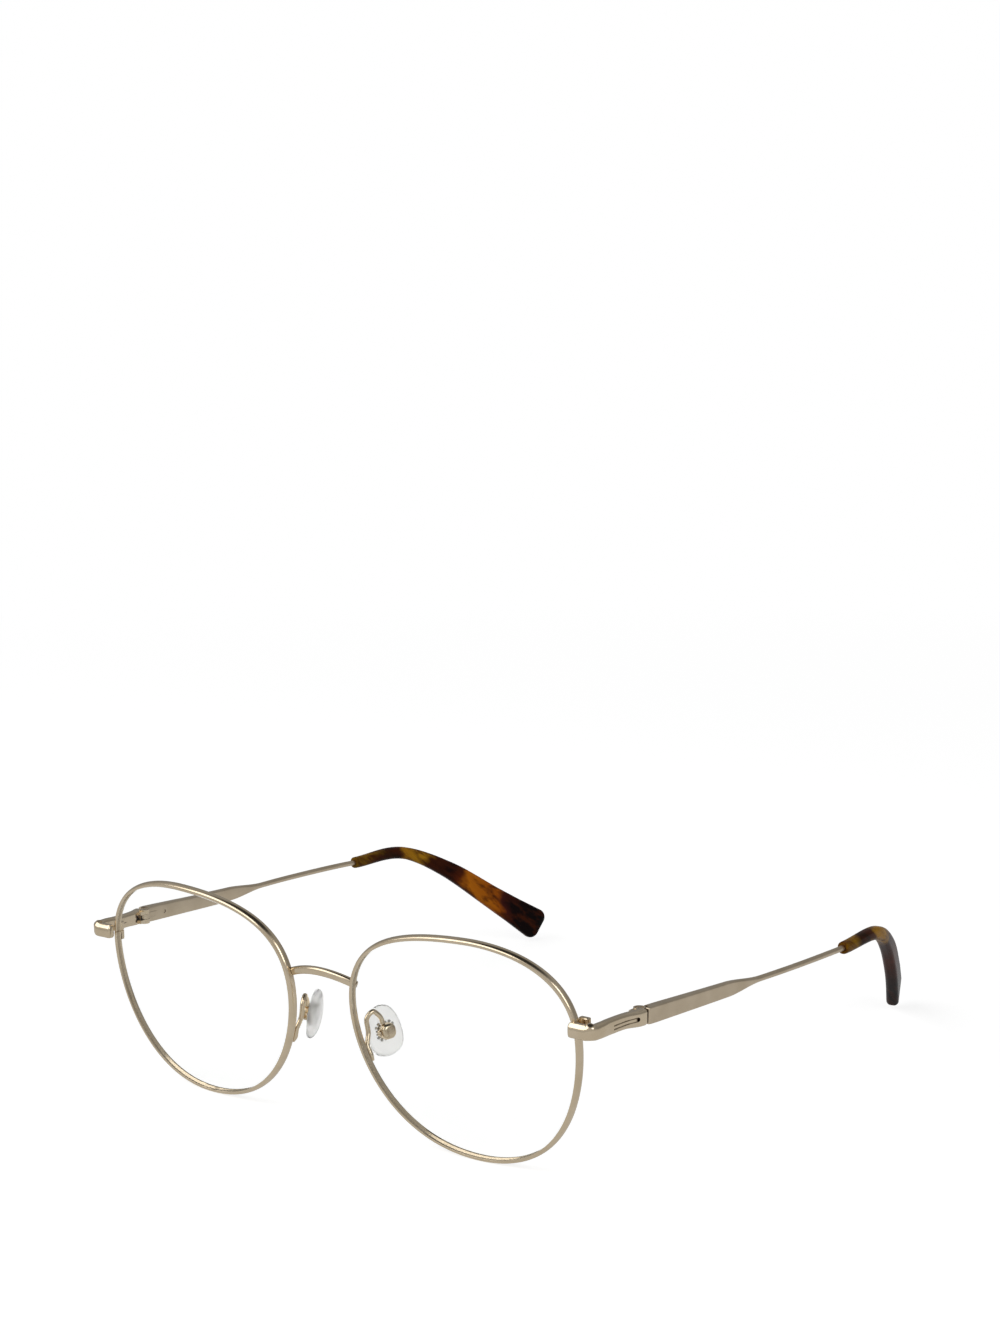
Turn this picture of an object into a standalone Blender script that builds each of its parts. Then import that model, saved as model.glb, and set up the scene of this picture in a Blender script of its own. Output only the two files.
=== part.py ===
"""Round wire eyeglasses with a lapped bridge, rocking nose pads and flex hinges.

Metres, +Z up. +X is the wearer's left and +Y runs back along the temples. The frame stands
open on its rims and temple tips, with the origin on the table under the middle of its box.
Every piece of a pair is worked out on the +X side, then mirrored.
"""

from math import atan2, cos, pi, radians, sin

import bmesh
import bpy
import numpy as np
from mathutils import Matrix, Vector

MM = 0.001

# Clearances
SEAT_GAP = 0.08 * MM
RUN_GAP = 0.05 * MM
SPLIT_GAP = 0.2 * MM
WELD = 0.0005 * MM

# Front: the rim's centre line, flat, with u outward and v up from the lens datum
LENS_PITCH = 72.0 * MM
EYE_WIDTH = 54.66 * MM
EYE_HEIGHT = 47.16 * MM
EYE_SHIFT = -0.35 * MM
EYE_DROP = 0.87 * MM
TEMPORAL_RISE = 5.51 * MM
NASAL_RISE = 4.68 * MM
TOP_OUTSET = 3.13 * MM
BOTTOM_OUTSET = 2.04 * MM
FULLNESS = {"temporal_top": (0.82, 0.39), "top_nasal": (0.73, 0.62),
            "nasal_bottom": (0.39, 0.72), "bottom_temporal": (0.77, 0.40)}
BASE_RADIUS = 150.0 * MM
WRAP = radians(3.53)
FRONT_TILT = radians(8.2)

# Rim wire
RIM_WIDTH = 0.96 * MM
RIM_DEPTH = 1.85 * MM
RIM_CROWN = 0.5 * MM
GROOVE_DEPTH = 0.38 * MM
GROOVE_HEIGHT = 0.84 * MM
RIM_STEPS = 16
NASAL = LENS_PITCH / 2 + EYE_SHIFT - EYE_WIDTH / 2
TEMPORAL = LENS_PITCH / 2 + EYE_SHIFT + EYE_WIDTH / 2

# Lens
LENS_THICKNESS = 1.7 * MM
LENS_STEPS = 60
LENS_RING = 0.55
LENS_RIDGE = 1.1

# Bridge
BRIDGE_HEIGHT = 1.75 * MM
BRIDGE_THICKNESS = 1.5 * MM
BRIDGE_RISE = 8.25 * MM
BRIDGE_ARCH = 1.85 * MM
BRIDGE_BOW = 1.5 * MM
BRIDGE_LAP = 0.8 * MM
BRIDGE_SEAT = 1.0 * MM

# End piece
END_LEVEL = 8.55 * MM
BAR_THICKNESS = 1.9 * MM
BAR_HEIGHT = 3.0 * MM
BAR_INBOARD = 0.35 * MM
ELBOW_INNER = 0.3 * MM
ELBOW_HEIGHT = 2.6 * MM
ELBOW_LEVEL = 8.75 * MM
CORNER_OUT = TEMPORAL + 5.15 * MM
SIDE_OUT = TEMPORAL + 4.17 * MM
SIDE_THICKNESS = 1.8 * MM
SIDE_HEIGHT = 3.0 * MM
SIDE_BULGE = 0.2 * MM
SIDE_SAG = 0.1 * MM
COVER_HEIGHT = 3.3 * MM
FLUTE_DEPTH = 0.12 * MM
FLUTE_WIDTH = 0.24 * MM
FLUTE_LIFT = 0.03 * MM
FLUTE_SPREAD = 0.72 * MM
FLUTE_START = 7.0 * MM
FLUTE_LEAD = 0.4 * MM
DIMPLE_RADIUS = 0.42 * MM
SEAM_WIDTH = 0.16 * MM
SEAM_LEAD = 4.0 * MM
SEAM_LAP = 0.3 * MM
BAR_TIP = 0.5 * MM
WAIST_BACK = 2.2 * MM
SWELL_BACK = 5.6 * MM
COVER_BACK = 2.6 * MM
COVER_FULL = 1.1 * MM
COVER_INSET = 0.42 * MM
COVER_EDGE = 0.4 * MM

# Rim lock
LOCK_INBOARD = 0.45 * MM
LOCK_WIDTH = 2.3 * MM
LOCK_FRONT = 0.1 * MM
LOCK_REAR = 1.15 * MM
LOCK_HEIGHT = 4.2 * MM
LOCK_DROP = 0.35 * MM
LOCK_EDGE = 0.3 * MM
LOCK_SCREW_RADIUS = 0.4 * MM
LOCK_HEAD_RADIUS = 0.62 * MM
LOCK_HEAD_HEIGHT = 0.4 * MM
LOCK_CAP = 0.7 * MM

# Hinge
HINGE = Vector((TEMPORAL + 4.22 * MM, 17.43 * MM, 8.2 * MM))
BARREL_RADIUS = 1.25 * MM
BARREL_HEIGHT = 2.65 * MM
EYE_RADIUS = 1.2 * MM
EYE_THICKNESS = 1.1 * MM
HINGE_SCREW_RADIUS = 0.5 * MM
HINGE_HEAD_RADIUS = 0.8 * MM
HINGE_HEAD_HEIGHT = 0.32 * MM
COVER_GAP = 0.25 * MM
SLOT_REACH = 3.2 * MM
GUSSET_REACH = 2.3 * MM

# Flex hinge
ROD_OFFSET = 1.08 * MM
ROD_RADIUS = 0.3 * MM
CARRIAGE_INNER = -0.05 * MM
CARRIAGE_OUTER = 0.42 * MM
CARRIAGE_LENGTH = 3.7 * MM
CARRIAGE_START = 0.5 * MM
BORE_RADIUS = 0.62 * MM
BUSH_START = 6.5 * MM
BUSH_LENGTH = 1.6 * MM
BUSH_RADIUS = 0.55 * MM
PIN_RADIUS = 0.34 * MM
SPRING_LENGTH = 5.0 * MM
SPRING_WIRE = 0.16 * MM
SPRING_TURNS = 7
STOP_LENGTH = 0.8 * MM
ROD_ROOT = 0.4 * MM
ROD_TIP = 0.1 * MM
BUSH_GROOVE = 0.1 * MM
PIN_INSET = 0.06 * MM

# Temple: offsets from the hinge, outward, back and up, along its centre line
TEMPLE_LINE = (
    (1.11 * MM, 0.2 * MM, 0.0 * MM),
    (1.24 * MM, 3.91 * MM, -0.18 * MM),
    (2.08 * MM, 28.28 * MM, -1.36 * MM),
    (3.28 * MM, 52.25 * MM, -2.13 * MM),
    (2.99 * MM, 75.42 * MM, -3.05 * MM),
    (0.92 * MM, 92.91 * MM, -4.28 * MM),
    (-2.26 * MM, 105.83 * MM, -9.07 * MM),
    (-7.67 * MM, 119.5 * MM, -19.28 * MM),
    (-13.91 * MM, 131.77 * MM, -29.5 * MM),
)
PADDLE_THICKNESS = (2.16 * MM, 1.6 * MM)
PADDLE_HEIGHT = (3.5 * MM, 3.05 * MM)
PADDLE_CORNER = 0.34 * MM
PADDLE_LENGTH = 28.3 * MM
PADDLE_FULL = 3.9 * MM
ROOT_EDGE = 0.36 * MM
FLARE_LENGTH = 12.5 * MM
WIRE_RADIUS = 0.635 * MM
WIRE_END = 8.0 * MM

# Temple tip: its ends behind the hinge, and half heights and half thicknesses by share of its length
TIP_START = 75.4 * MM
TIP_END = 132.1 * MM
TIP_SHARES = (0.0, 0.17, 0.35, 0.455, 0.545, 0.63, 0.78, 0.9, 1.0)
TIP_SLIM = 1.38 * MM
TIP_WIDE = 4.05 * MM
TIP_SWELL = (0.0, 0.025, 0.06, 0.15, 0.26, 0.385, 0.565, 0.765, 1.0)
TIP_ROOT_THICK = 1.28 * MM
TIP_THICK = 1.5 * MM
TIP_THICK_FROM = 0.4
TIP_CORNER = 1.2 * MM
TIP_EDGE = 0.75 * MM
TIP_LIP = 0.25 * MM
TIP_ROUND = 1.4 * MM
TIP_TWIST = radians(11)
TIP_TWIST_SPAN = (0.25, 0.75)
CORE_INSET = 9.0 * MM

# Nose pad
PAD_CENTRE = Vector((NASAL + 1.38 * MM, 8.95 * MM, -2.9 * MM))
PAD_SPLAY = radians(25)
PAD_LEAN = radians(12.3)
PAD_PITCH = radians(4.3)
PAD_LENGTH = 11.2 * MM
PAD_WIDTH = 8.0 * MM
PAD_CROWN = 1.15 * MM
PAD_BACK = 0.75 * MM
PAD_EGG = 0.2
PAD_STEPS = 24
INSERT_PLATE = Vector((4.6 * MM, 2.3 * MM, 0.42 * MM))
BOSS = Vector((1.3 * MM, 1.3 * MM, 0.55 * MM))
PAD_AXIS_RISE = 1.75 * MM
BOX_SIZE = Vector((3.6 * MM, 3.4 * MM, 1.9 * MM))
BOX_START = 1.1 * MM
BOX_WALL = 0.5 * MM
BOX_EDGE = 1.1 * MM
PAD_SCREW_RADIUS = 0.4 * MM
PAD_HEAD_RADIUS = 0.7 * MM
PAD_HEAD_HEIGHT = 0.35 * MM

# Pad arm: wire radius, foot size, the free points of its arch and its place on the pad's box
ARM_RADIUS = 0.48 * MM
FOOT_HALF_WIDTH = 0.6 * MM
FOOT_HALF_THICKNESS = 0.55 * MM
FOOT_FROM = radians(198.5)
FOOT_TO = radians(191)
ARM_ARCH = (
    Vector((NASAL + 1.0 * MM, 4.1 * MM, -2.4 * MM)),
    Vector((NASAL + 0.6 * MM, 4.15 * MM, 0.4 * MM)),
    Vector((NASAL + 1.15 * MM, 5.5 * MM, 1.8 * MM)),
    Vector((NASAL + 1.85 * MM, 6.7 * MM, 0.9 * MM)),
)
ARM_FORWARD = 0.75 * MM
ARM_RISE = 1.8 * MM

SCREW_SLOT = 0.26 * MM
ROUND_STEPS = 20
SCREW_STEPS = 14
SMALL_STEPS = 12
SIDES = {"left": 1, "right": -1}


def clear_scene():
    for obj in list(bpy.data.objects):
        bpy.data.objects.remove(obj)


def new_collection(name):
    collection = bpy.data.collections.new(name)
    bpy.context.scene.collection.children.link(collection)
    return collection


def material(name, colour, roughness, metallic=0.0, transmission=0.0):
    made = bpy.data.materials.new(name)
    made.use_nodes = True
    shader = made.node_tree.nodes["Principled BSDF"]
    shader.inputs["Base Color"].default_value = (*colour, 1)
    shader.inputs["Roughness"].default_value = roughness
    shader.inputs["Metallic"].default_value = metallic
    shader.inputs["Transmission Weight"].default_value = transmission
    made.diffuse_color = (*colour, 1)
    return made


# Modelling helpers


def weld(mesh):
    """Join the loose caps of a curve, or the seam of a lathe, to their walls."""
    bm = bmesh.new()
    bm.from_mesh(mesh)
    bmesh.ops.remove_doubles(bm, verts=bm.verts, dist=WELD)
    bmesh.ops.recalc_face_normals(bm, faces=bm.faces)
    bm.to_mesh(mesh)
    bm.free()
    return mesh


def guide(name, data):
    """Hold a mesh or curve as a hidden working object."""
    obj = bpy.data.objects.new(name, data)
    obj.hide_render = True
    obj.display_type = "WIRE"
    CUTTERS.objects.link(obj)
    return obj


def evaluated(obj):
    bpy.context.view_layer.update()
    graph = bpy.context.evaluated_depsgraph_get()
    mesh = bpy.data.meshes.new_from_object(obj.evaluated_get(graph))
    bpy.data.objects.remove(obj)
    return mesh


def combine(body, tools, operation):
    """Cut or join a body with each tool in turn."""
    base = guide("body", body)
    used = []
    for tool in tools:
        cutter = guide("cutter", tool)
        step = base.modifiers.new(operation.lower(), "BOOLEAN")
        step.operation = operation
        step.solver = "EXACT"
        step.object = cutter
        used.append(cutter)
    mesh = evaluated(base)
    for cutter in used:
        bpy.data.objects.remove(cutter)
    return mesh


def cut(body, *tools):
    return combine(body, tools, "DIFFERENCE")


def join(body, *tools):
    return combine(body, tools, "UNION")


def block(low, high, place=Matrix(), edge=0.0):
    """A box between two corners, with its edges rounded by edge."""
    low = Vector(low)
    high = Vector(high)
    bm = bmesh.new()
    bmesh.ops.create_cube(bm, size=1)
    bmesh.ops.scale(bm, vec=high - low, verts=bm.verts)
    bmesh.ops.translate(bm, vec=(low + high) / 2, verts=bm.verts)
    if edge:
        bmesh.ops.bevel(bm, geom=bm.edges[:], offset=edge, segments=2, profile=0.5, affect="EDGES")
    bm.transform(place)
    mesh = bpy.data.meshes.new("block")
    bm.to_mesh(mesh)
    bm.free()
    return mesh


def drum(radius, low, high, place=Matrix(), steps=ROUND_STEPS):
    """A round bar along the local Z from low to high."""
    bm = bmesh.new()
    bmesh.ops.create_cone(bm, cap_ends=True, segments=steps, radius1=radius, radius2=radius, depth=high - low)
    bmesh.ops.translate(bm, vec=(0, 0, (low + high) / 2), verts=bm.verts)
    bm.transform(place)
    mesh = bpy.data.meshes.new("drum")
    bm.to_mesh(mesh)
    bm.free()
    return mesh


def turned(profile, place=Matrix(), steps=ROUND_STEPS):
    """Turn a profile of (radius, height), given from top to bottom, about the local Z."""
    mesh = bpy.data.meshes.new("profile")
    points = [(radius, 0, height) for radius, height in profile]
    closed = profile[0][0] > 0
    edges = [(i, i + 1) for i in range(len(points) - 1)]
    if closed:
        edges.append((len(points) - 1, 0))
    mesh.from_pydata(points, edges, [])
    obj = guide("lathe", mesh)
    screw = obj.modifiers.new("screw", "SCREW")
    screw.steps = steps
    screw.render_steps = steps
    screw.use_merge_vertices = True
    screw.merge_threshold = WELD
    result = weld(evaluated(obj))
    result.transform(place)
    return result


def loft(rings):
    """Skin a row of rings, each with the same number of points, and cap its ends."""
    bm = bmesh.new()
    rows = [[bm.verts.new(point) for point in ring] for ring in rings]
    count = len(rows[0])
    for first, second in zip(rows, rows[1:]):
        for i in range(count):
            j = (i + 1) % count
            bm.faces.new((first[i], first[j], second[j], second[i]))
    bm.faces.new(rows[0])
    bm.faces.new(rows[-1])
    bmesh.ops.recalc_face_normals(bm, faces=bm.faces)
    mesh = bpy.data.meshes.new("loft")
    bm.to_mesh(mesh)
    bm.free()
    return mesh


def section(centre, across, up, half_width, half_height, corner, arc=3):
    """A rounded rectangle of 4 * arc points, which is a circle when all three sizes agree."""
    points = []
    for quarter, (side, rise) in enumerate(((1, 1), (-1, 1), (-1, -1), (1, -1))):
        for i in range(arc):
            angle = (quarter + (i + 0.5) / arc) * pi / 2
            x = side * (half_width - corner) + corner * cos(angle)
            z = rise * (half_height - corner) + corner * sin(angle)
            points.append(centre + across * x + up * z)
    return points


def tube(points, radius):
    """A thin eight-sided wire along a row of points."""
    curve = bpy.data.curves.new("wire", "CURVE")
    curve.dimensions = "3D"
    curve.bevel_depth = radius
    curve.bevel_resolution = 0
    curve.render_resolution_u = 0
    curve.use_fill_caps = True
    spline = curve.splines.new("POLY")
    spline.points.add(len(points) - 1)
    for spot, point in zip(spline.points, points):
        spot.co = (*point, 1)
    return weld(evaluated(guide("wire", curve)))


def smooth_row(knots, steps):
    """Points of a Catmull-Rom curve through rows of numbers, with steps to each span."""
    knots = np.array(knots, dtype=float)
    padded = np.vstack([2 * knots[0] - knots[1], knots, 2 * knots[-1] - knots[-2]])
    rows = []
    for i in range(len(knots) - 1):
        before, start, end, after = padded[i:i + 4]
        for t in np.arange(steps) / steps:
            rows.append(0.5 * (2 * start + (end - before) * t
                               + (2 * before - 5 * start + 4 * end - after) * t ** 2
                               + (3 * start - before - 3 * end + after) * t ** 3))
    rows.append(knots[-1])
    return rows


def slotted_screw(radius, length, head_radius, head_height, place):
    """A screw along the local Z, its head up, its shank's end at the origin."""
    top = length + head_height
    profile = ((0, top), (head_radius * 0.8, top), (head_radius, top - head_height * 0.4),
               (head_radius, length), (radius, length), (radius, radius * 0.4), (radius * 0.6, 0), (0, 0))
    body = turned(profile, Matrix(), SCREW_STEPS)
    slot_end = Vector((head_radius * 1.5, SCREW_SLOT / 2, top + head_height))
    slot = block((-slot_end.x, -slot_end.y, top - head_height * 0.5), slot_end)
    mesh = cut(body, slot)
    mesh.transform(place)
    return mesh


# The curved front


def onto_front(points):
    """Bend, wrap and tilt flat points (u outward, w back, v up) into the front's place."""
    u, w, v = np.array(points, dtype=float).T
    back = w + (u ** 2 + v ** 2) / (2 * BASE_RADIUS)
    x = LENS_PITCH / 2 + u * cos(WRAP) - back * sin(WRAP)
    y = u * sin(WRAP) + back * cos(WRAP)
    return np.stack([x, y * cos(FRONT_TILT) - v * sin(FRONT_TILT),
                     y * sin(FRONT_TILT) + v * cos(FRONT_TILT)], axis=1)


def front_point(u, w, v):
    return Vector(onto_front([(u, w, v)])[0])


def eye_knots():
    """The four extremes of the rim's centre line, each with its two handles."""
    temporal = Vector((EYE_SHIFT + EYE_WIDTH / 2, TEMPORAL_RISE - EYE_DROP))
    top = Vector((EYE_SHIFT + TOP_OUTSET, EYE_HEIGHT / 2 - EYE_DROP))
    nasal = Vector((EYE_SHIFT - EYE_WIDTH / 2, NASAL_RISE - EYE_DROP))
    bottom = Vector((EYE_SHIFT + BOTTOM_OUTSET, -EYE_HEIGHT / 2 - EYE_DROP))
    full = FULLNESS

    def upright(point, towards, amount):
        return point + Vector((0, (towards.y - point.y) * amount))

    def level(point, towards, amount):
        return point + Vector(((towards.x - point.x) * amount, 0))

    return [
        (upright(temporal, bottom, full["bottom_temporal"][1]), temporal,
         upright(temporal, top, full["temporal_top"][0])),
        (level(top, temporal, full["temporal_top"][1]), top, level(top, nasal, full["top_nasal"][0])),
        (upright(nasal, top, full["top_nasal"][1]), nasal, upright(nasal, bottom, full["nasal_bottom"][0])),
        (level(bottom, nasal, full["nasal_bottom"][1]), bottom,
         level(bottom, temporal, full["bottom_temporal"][0])),
    ]


def eye_samples(steps=120):
    """Dense points of the rim's centre line."""
    knots = eye_knots()
    points = []
    for i, (_, start, leave) in enumerate(knots):
        arrive, end, _ = knots[(i + 1) % 4]
        for t in np.arange(steps) / steps:
            s = 1 - t
            points.append(start * s ** 3 + leave * 3 * s * s * t + arrive * 3 * s * t * t + end * t ** 3)
    return np.array([(p.x, p.y) for p in points])


EYE_LINE = eye_samples()


def eye_radius(angle):
    """Distance from the lens datum to the rim's centre line in a direction."""
    angles = np.unwrap(np.arctan2(EYE_LINE[:, 1], EYE_LINE[:, 0]))
    radii = np.hypot(EYE_LINE[:, 0], EYE_LINE[:, 1])
    turn = (np.asarray(angle) - angles[0]) % (2 * pi) + angles[0]
    return np.interp(turn, np.append(angles, angles[0] + 2 * pi), np.append(radii, radii[0]))


def rim_point(angle, out=0.0, back=0.0):
    """A point beside the rim: out from its centre line in the eye's plane, and back from it."""
    radius = float(eye_radius(angle)) + out
    return front_point(radius * cos(angle), back, radius * sin(angle))


def rim_angle_at(level):
    """The direction in which the temporal side of the rim stands at a height."""
    angles = np.linspace(radians(-10), radians(40), 200)
    heights = [rim_point(a).z for a in angles]
    return float(np.interp(level, heights, angles))


def rim_section():
    """Half-round outside, flat inside with a lens groove; +X is outward."""
    inner = -RIM_WIDTH / 2
    half = RIM_DEPTH / 2
    groove = GROOVE_HEIGHT / 2
    flat = [(inner, half), (inner, groove), (inner + GROOVE_DEPTH, 0), (inner, -groove), (inner, -half)]
    return crown(0) + flat


def crown(grow):
    """The rim's rounded outside, from its front to its back."""
    root = RIM_WIDTH / 2 - RIM_CROWN
    half = RIM_DEPTH / 2 + grow
    return [(root + (RIM_CROWN + grow) * cos(a), half * sin(a)) for a in np.radians((-90, -45, 0, 45, 90))]


def swept(points):
    """Sweep a section of (outward, back) points round the eye outline, and curve it with the front."""
    shape = bpy.data.curves.new("section", "CURVE")
    shape.dimensions = "2D"
    profile = shape.splines.new("POLY")
    profile.points.add(len(points) - 1)
    for spot, (out, back) in zip(profile.points, points):
        spot.co = (-out, back, 0, 1)
    profile.use_cyclic_u = True
    shaper = guide("section", shape)

    path = bpy.data.curves.new("eye_path", "CURVE")
    path.dimensions = "2D"
    path.fill_mode = "NONE"
    path.resolution_u = RIM_STEPS
    path.render_resolution_u = 0
    path.bevel_mode = "OBJECT"
    path.bevel_object = shaper
    spline = path.splines.new("BEZIER")
    spline.bezier_points.add(3)
    for knot, (arrive, point, leave) in zip(spline.bezier_points, eye_knots()):
        knot.handle_left_type = "FREE"
        knot.handle_right_type = "FREE"
        knot.handle_left = (*arrive, 0)
        knot.co = (*point, 0)
        knot.handle_right = (*leave, 0)
    spline.use_cyclic_u = True
    mesh = weld(evaluated(guide("eye_path", path)))
    bpy.data.objects.remove(shaper)
    flat = [(v.co.x, -v.co.z, v.co.y) for v in mesh.vertices]
    for vertex, place in zip(mesh.vertices, onto_front(flat)):
        vertex.co = place
    return weld(mesh)


def rim_room():
    """The space that the rim and its seat gap take from whatever is fitted to it."""
    inner = -RIM_WIDTH / 2 - SEAT_GAP
    half = RIM_DEPTH / 2 + SEAT_GAP
    return swept(crown(SEAT_GAP) + [(inner, half), (inner, -half)])


def rim():
    """The grooved wire, split at the lock."""
    crossing = rim_point(rim_angle_at(END_LEVEL - LOCK_DROP))
    reach = RIM_DEPTH * 1.2
    split = block((crossing.x - reach, crossing.y - reach, crossing.z - SPLIT_GAP / 2),
                  (crossing.x + reach, crossing.y + reach, crossing.z + SPLIT_GAP / 2))
    return cut(swept(rim_section()), split)


def lens():
    """A thin turned blank, cut to the groove's outline with a ridge on its edge, and curved."""
    half = LENS_THICKNESS / 2
    bevel = GROOVE_HEIGHT / 2
    profile = ((0, half), (LENS_RING, half), (1, half), (1, bevel), (LENS_RIDGE, 0),
               (1, -bevel), (1, -half), (LENS_RING, -half), (0, -half))
    blank = turned(profile, Matrix(), LENS_STEPS)
    shoulder_inset = RIM_WIDTH / 2 + SEAT_GAP
    ridge_inset = RIM_WIDTH / 2 - GROOVE_DEPTH + SEAT_GAP
    flat = []
    for vertex in blank.vertices:
        reach = Vector((vertex.co.x, vertex.co.y)).length
        angle = atan2(vertex.co.y, vertex.co.x)
        edge = float(eye_radius(angle))
        radius = edge - ridge_inset if reach > (1 + LENS_RIDGE) / 2 else (edge - shoulder_inset) * reach
        flat.append((radius * cos(angle), vertex.co.z, radius * sin(angle)))
    for vertex, place in zip(blank.vertices, onto_front(flat)):
        vertex.co = place
    return weld(blank)


def bridge():
    """An arched and bowed bar whose ends are notched to lap each rim from behind."""
    nasal = pi - np.linspace(radians(-10), radians(40), 120)
    heights = [rim_point(a).z for a in nasal]
    rim_here = rim_point(float(np.interp(BRIDGE_RISE, heights, nasal)))
    reach = rim_here.x - RIM_WIDTH / 2 + BRIDGE_LAP
    seat = rim_here.y + RIM_DEPTH / 2 + BRIDGE_SEAT - BRIDGE_THICKNESS / 2
    line = []
    for x in np.linspace(-reach, reach, 19):
        q = 1 - (x / reach) ** 2
        line.append(Vector((x, seat - BRIDGE_BOW * q, BRIDGE_RISE + BRIDGE_ARCH * q)))
    rings = []
    for i, centre in enumerate(line):
        ahead = (line[min(i + 1, len(line) - 1)] - line[max(i - 1, 0)]).normalized()
        up = ahead.cross(Vector((0, 1, 0))).normalized()
        side = up.cross(ahead)
        shrink = 0.7 if i in (0, len(line) - 1) else 1.0
        rings.append(section(centre, side, up, BRIDGE_THICKNESS / 2 * shrink, BRIDGE_HEIGHT / 2 * shrink,
                             BRIDGE_THICKNESS * 0.42 * shrink))
    room = rim_room()
    return cut(loft(rings), room, mirrored(room))


# End piece, lock and hinge


FLAT_SIDE = ((1, 0), (1, 0.72), (0.7, 1), (0, 1), (-0.7, 1), (-1, 0.72))
RIDGED_SIDE = ((1, 0), (0.74, 0.62), (0.4, 0.96), (0, 1), (-0.7, 1), (-1, 0.72))
FLAT_UNDER = ((-1, 0), (-1, -0.72), (-0.7, -1), (0, -1), (0.7, -1), (1, -0.72))
RIDGED_UNDER = ((-1, 0), (-1, -0.72), (-0.7, -1), (0, -1), (0.66, -0.96), (0.96, -0.62))


def end_ring(x, y, z, heading, half_thickness, half_height, ridge):
    """A section of the end piece; ridge tilts the upper half of its outer face into a facet."""
    across = Vector((sin(heading), -cos(heading), 0))
    points = []
    for flat, ridged in zip(FLAT_SIDE + FLAT_UNDER, RIDGED_SIDE + RIDGED_UNDER):
        out = flat[0] + (ridged[0] - flat[0]) * ridge
        up = flat[1] + (ridged[1] - flat[1]) * ridge
        points.append(Vector((x, y, z)) + across * out * half_thickness + Vector((0, 0, up * half_height)))
    return points


def bar_seat():
    """The front bar's middle, set just in front of the rim where it crosses."""
    fronts = [rim_point(rim_angle_at(END_LEVEL + rise), 0, -RIM_DEPTH / 2).y
              for rise in (-BAR_HEIGHT / 2, 0, BAR_HEIGHT / 2)]
    return min(fronts) - SEAT_GAP - BAR_THICKNESS / 2


def end_piece_rings():
    """Rings along the front bar, round the corner and back to the hinge's cover."""
    crossing = rim_point(rim_angle_at(END_LEVEL))
    inboard = crossing.x - BAR_INBOARD
    bar_y = bar_seat()
    bar = BAR_THICKNESS / 2
    tall = BAR_HEIGHT / 2
    level = END_LEVEL
    pivot_x = CORNER_OUT - BAR_THICKNESS - ELBOW_INNER
    pivot_y = bar_y + bar + ELBOW_INNER
    rings = [
        end_ring(inboard, bar_y, level, 0, bar * 0.55, tall * 0.62, 0.5),
        end_ring(inboard + BAR_TIP * 0.32, bar_y, level, 0, bar * 0.84, tall * 0.87, 0.8),
        end_ring(inboard + BAR_TIP, bar_y, level, 0, bar, tall, 1),
        end_ring((inboard + pivot_x) / 2, bar_y, level, 0, bar, tall, 1),
    ]
    out = ELBOW_INNER + bar
    for turn in np.radians((0, 25, 45, 65, 90)):
        narrow = sin(2 * turn)
        rings.append(end_ring(pivot_x + out * sin(turn), pivot_y - out * cos(turn),
                              level + (ELBOW_LEVEL - level) * narrow, turn, bar,
                              tall + (ELBOW_HEIGHT / 2 - tall) * narrow, 1 - 0.5 * sin(turn)))
    side = SIDE_THICKNESS / 2
    side_high = SIDE_HEIGHT / 2
    bulge = SIDE_OUT + SIDE_BULGE
    cover = HINGE.x + TEMPLE_LINE[0][0]
    rear = HINGE.y - COVER_GAP
    full = PADDLE_THICKNESS[0] / 2
    high = COVER_HEIGHT / 2
    quarter = pi / 2
    rings += [
        end_ring(bulge, pivot_y + WAIST_BACK, level, quarter + 0.1, side, side_high, 0.3),
        end_ring(SIDE_OUT, FLUTE_START, level - SIDE_SAG, quarter, side, side_high, 0),
        end_ring(bulge, rear - SWELL_BACK, (level + HINGE.z) / 2, quarter, side, side_high, 0),
        end_ring(cover - COVER_INSET, rear - COVER_BACK, HINGE.z, quarter, full * 0.96, high * 0.97, 0),
        end_ring(cover - COVER_INSET / 5, rear - COVER_FULL, HINGE.z, quarter - 0.05, full, high, 0),
        end_ring(cover, rear - COVER_EDGE, HINGE.z, quarter, full, high * 0.98, 0),
        end_ring(cover, rear - COVER_EDGE / 4, HINGE.z, quarter, full * 0.92, high * 0.92, 0),
        end_ring(cover, rear, HINGE.z, quarter, full * 0.76, high * 0.8, 0),
    ]
    return rings


def hinge_holes(radius):
    """A drill through the hinge's whole height."""
    return drum(radius, -BARREL_HEIGHT, BARREL_HEIGHT, Matrix.Translation(HINGE))


def end_piece():
    """A bar that laps the rim, turns the corner and carries two knuckles at its rear."""
    body = loft(end_piece_rings())
    half = BARREL_HEIGHT / 2
    here = Matrix.Translation(HINGE)
    barrel = drum(BARREL_RADIUS, -half, half, here)
    gusset = block((-BARREL_RADIUS * 0.8, -GUSSET_REACH, -half), (BARREL_RADIUS * 0.5, 0, half), here)
    body = cut(join(body, barrel, gusset), *side_cuts())

    slot_half = EYE_THICKNESS / 2 + RUN_GAP
    wall = BARREL_RADIUS + SEAT_GAP
    slot = block((-PADDLE_HEIGHT[0], -SLOT_REACH, -slot_half), (wall, SLOT_REACH, slot_half), here)
    head_seat = half - HINGE_HEAD_HEIGHT - RUN_GAP
    countersink = drum(HINGE_HEAD_RADIUS + RUN_GAP, head_seat, BARREL_HEIGHT, here)
    return cut(body, slot, hinge_holes(HINGE_SCREW_RADIUS + RUN_GAP), countersink)


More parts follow.
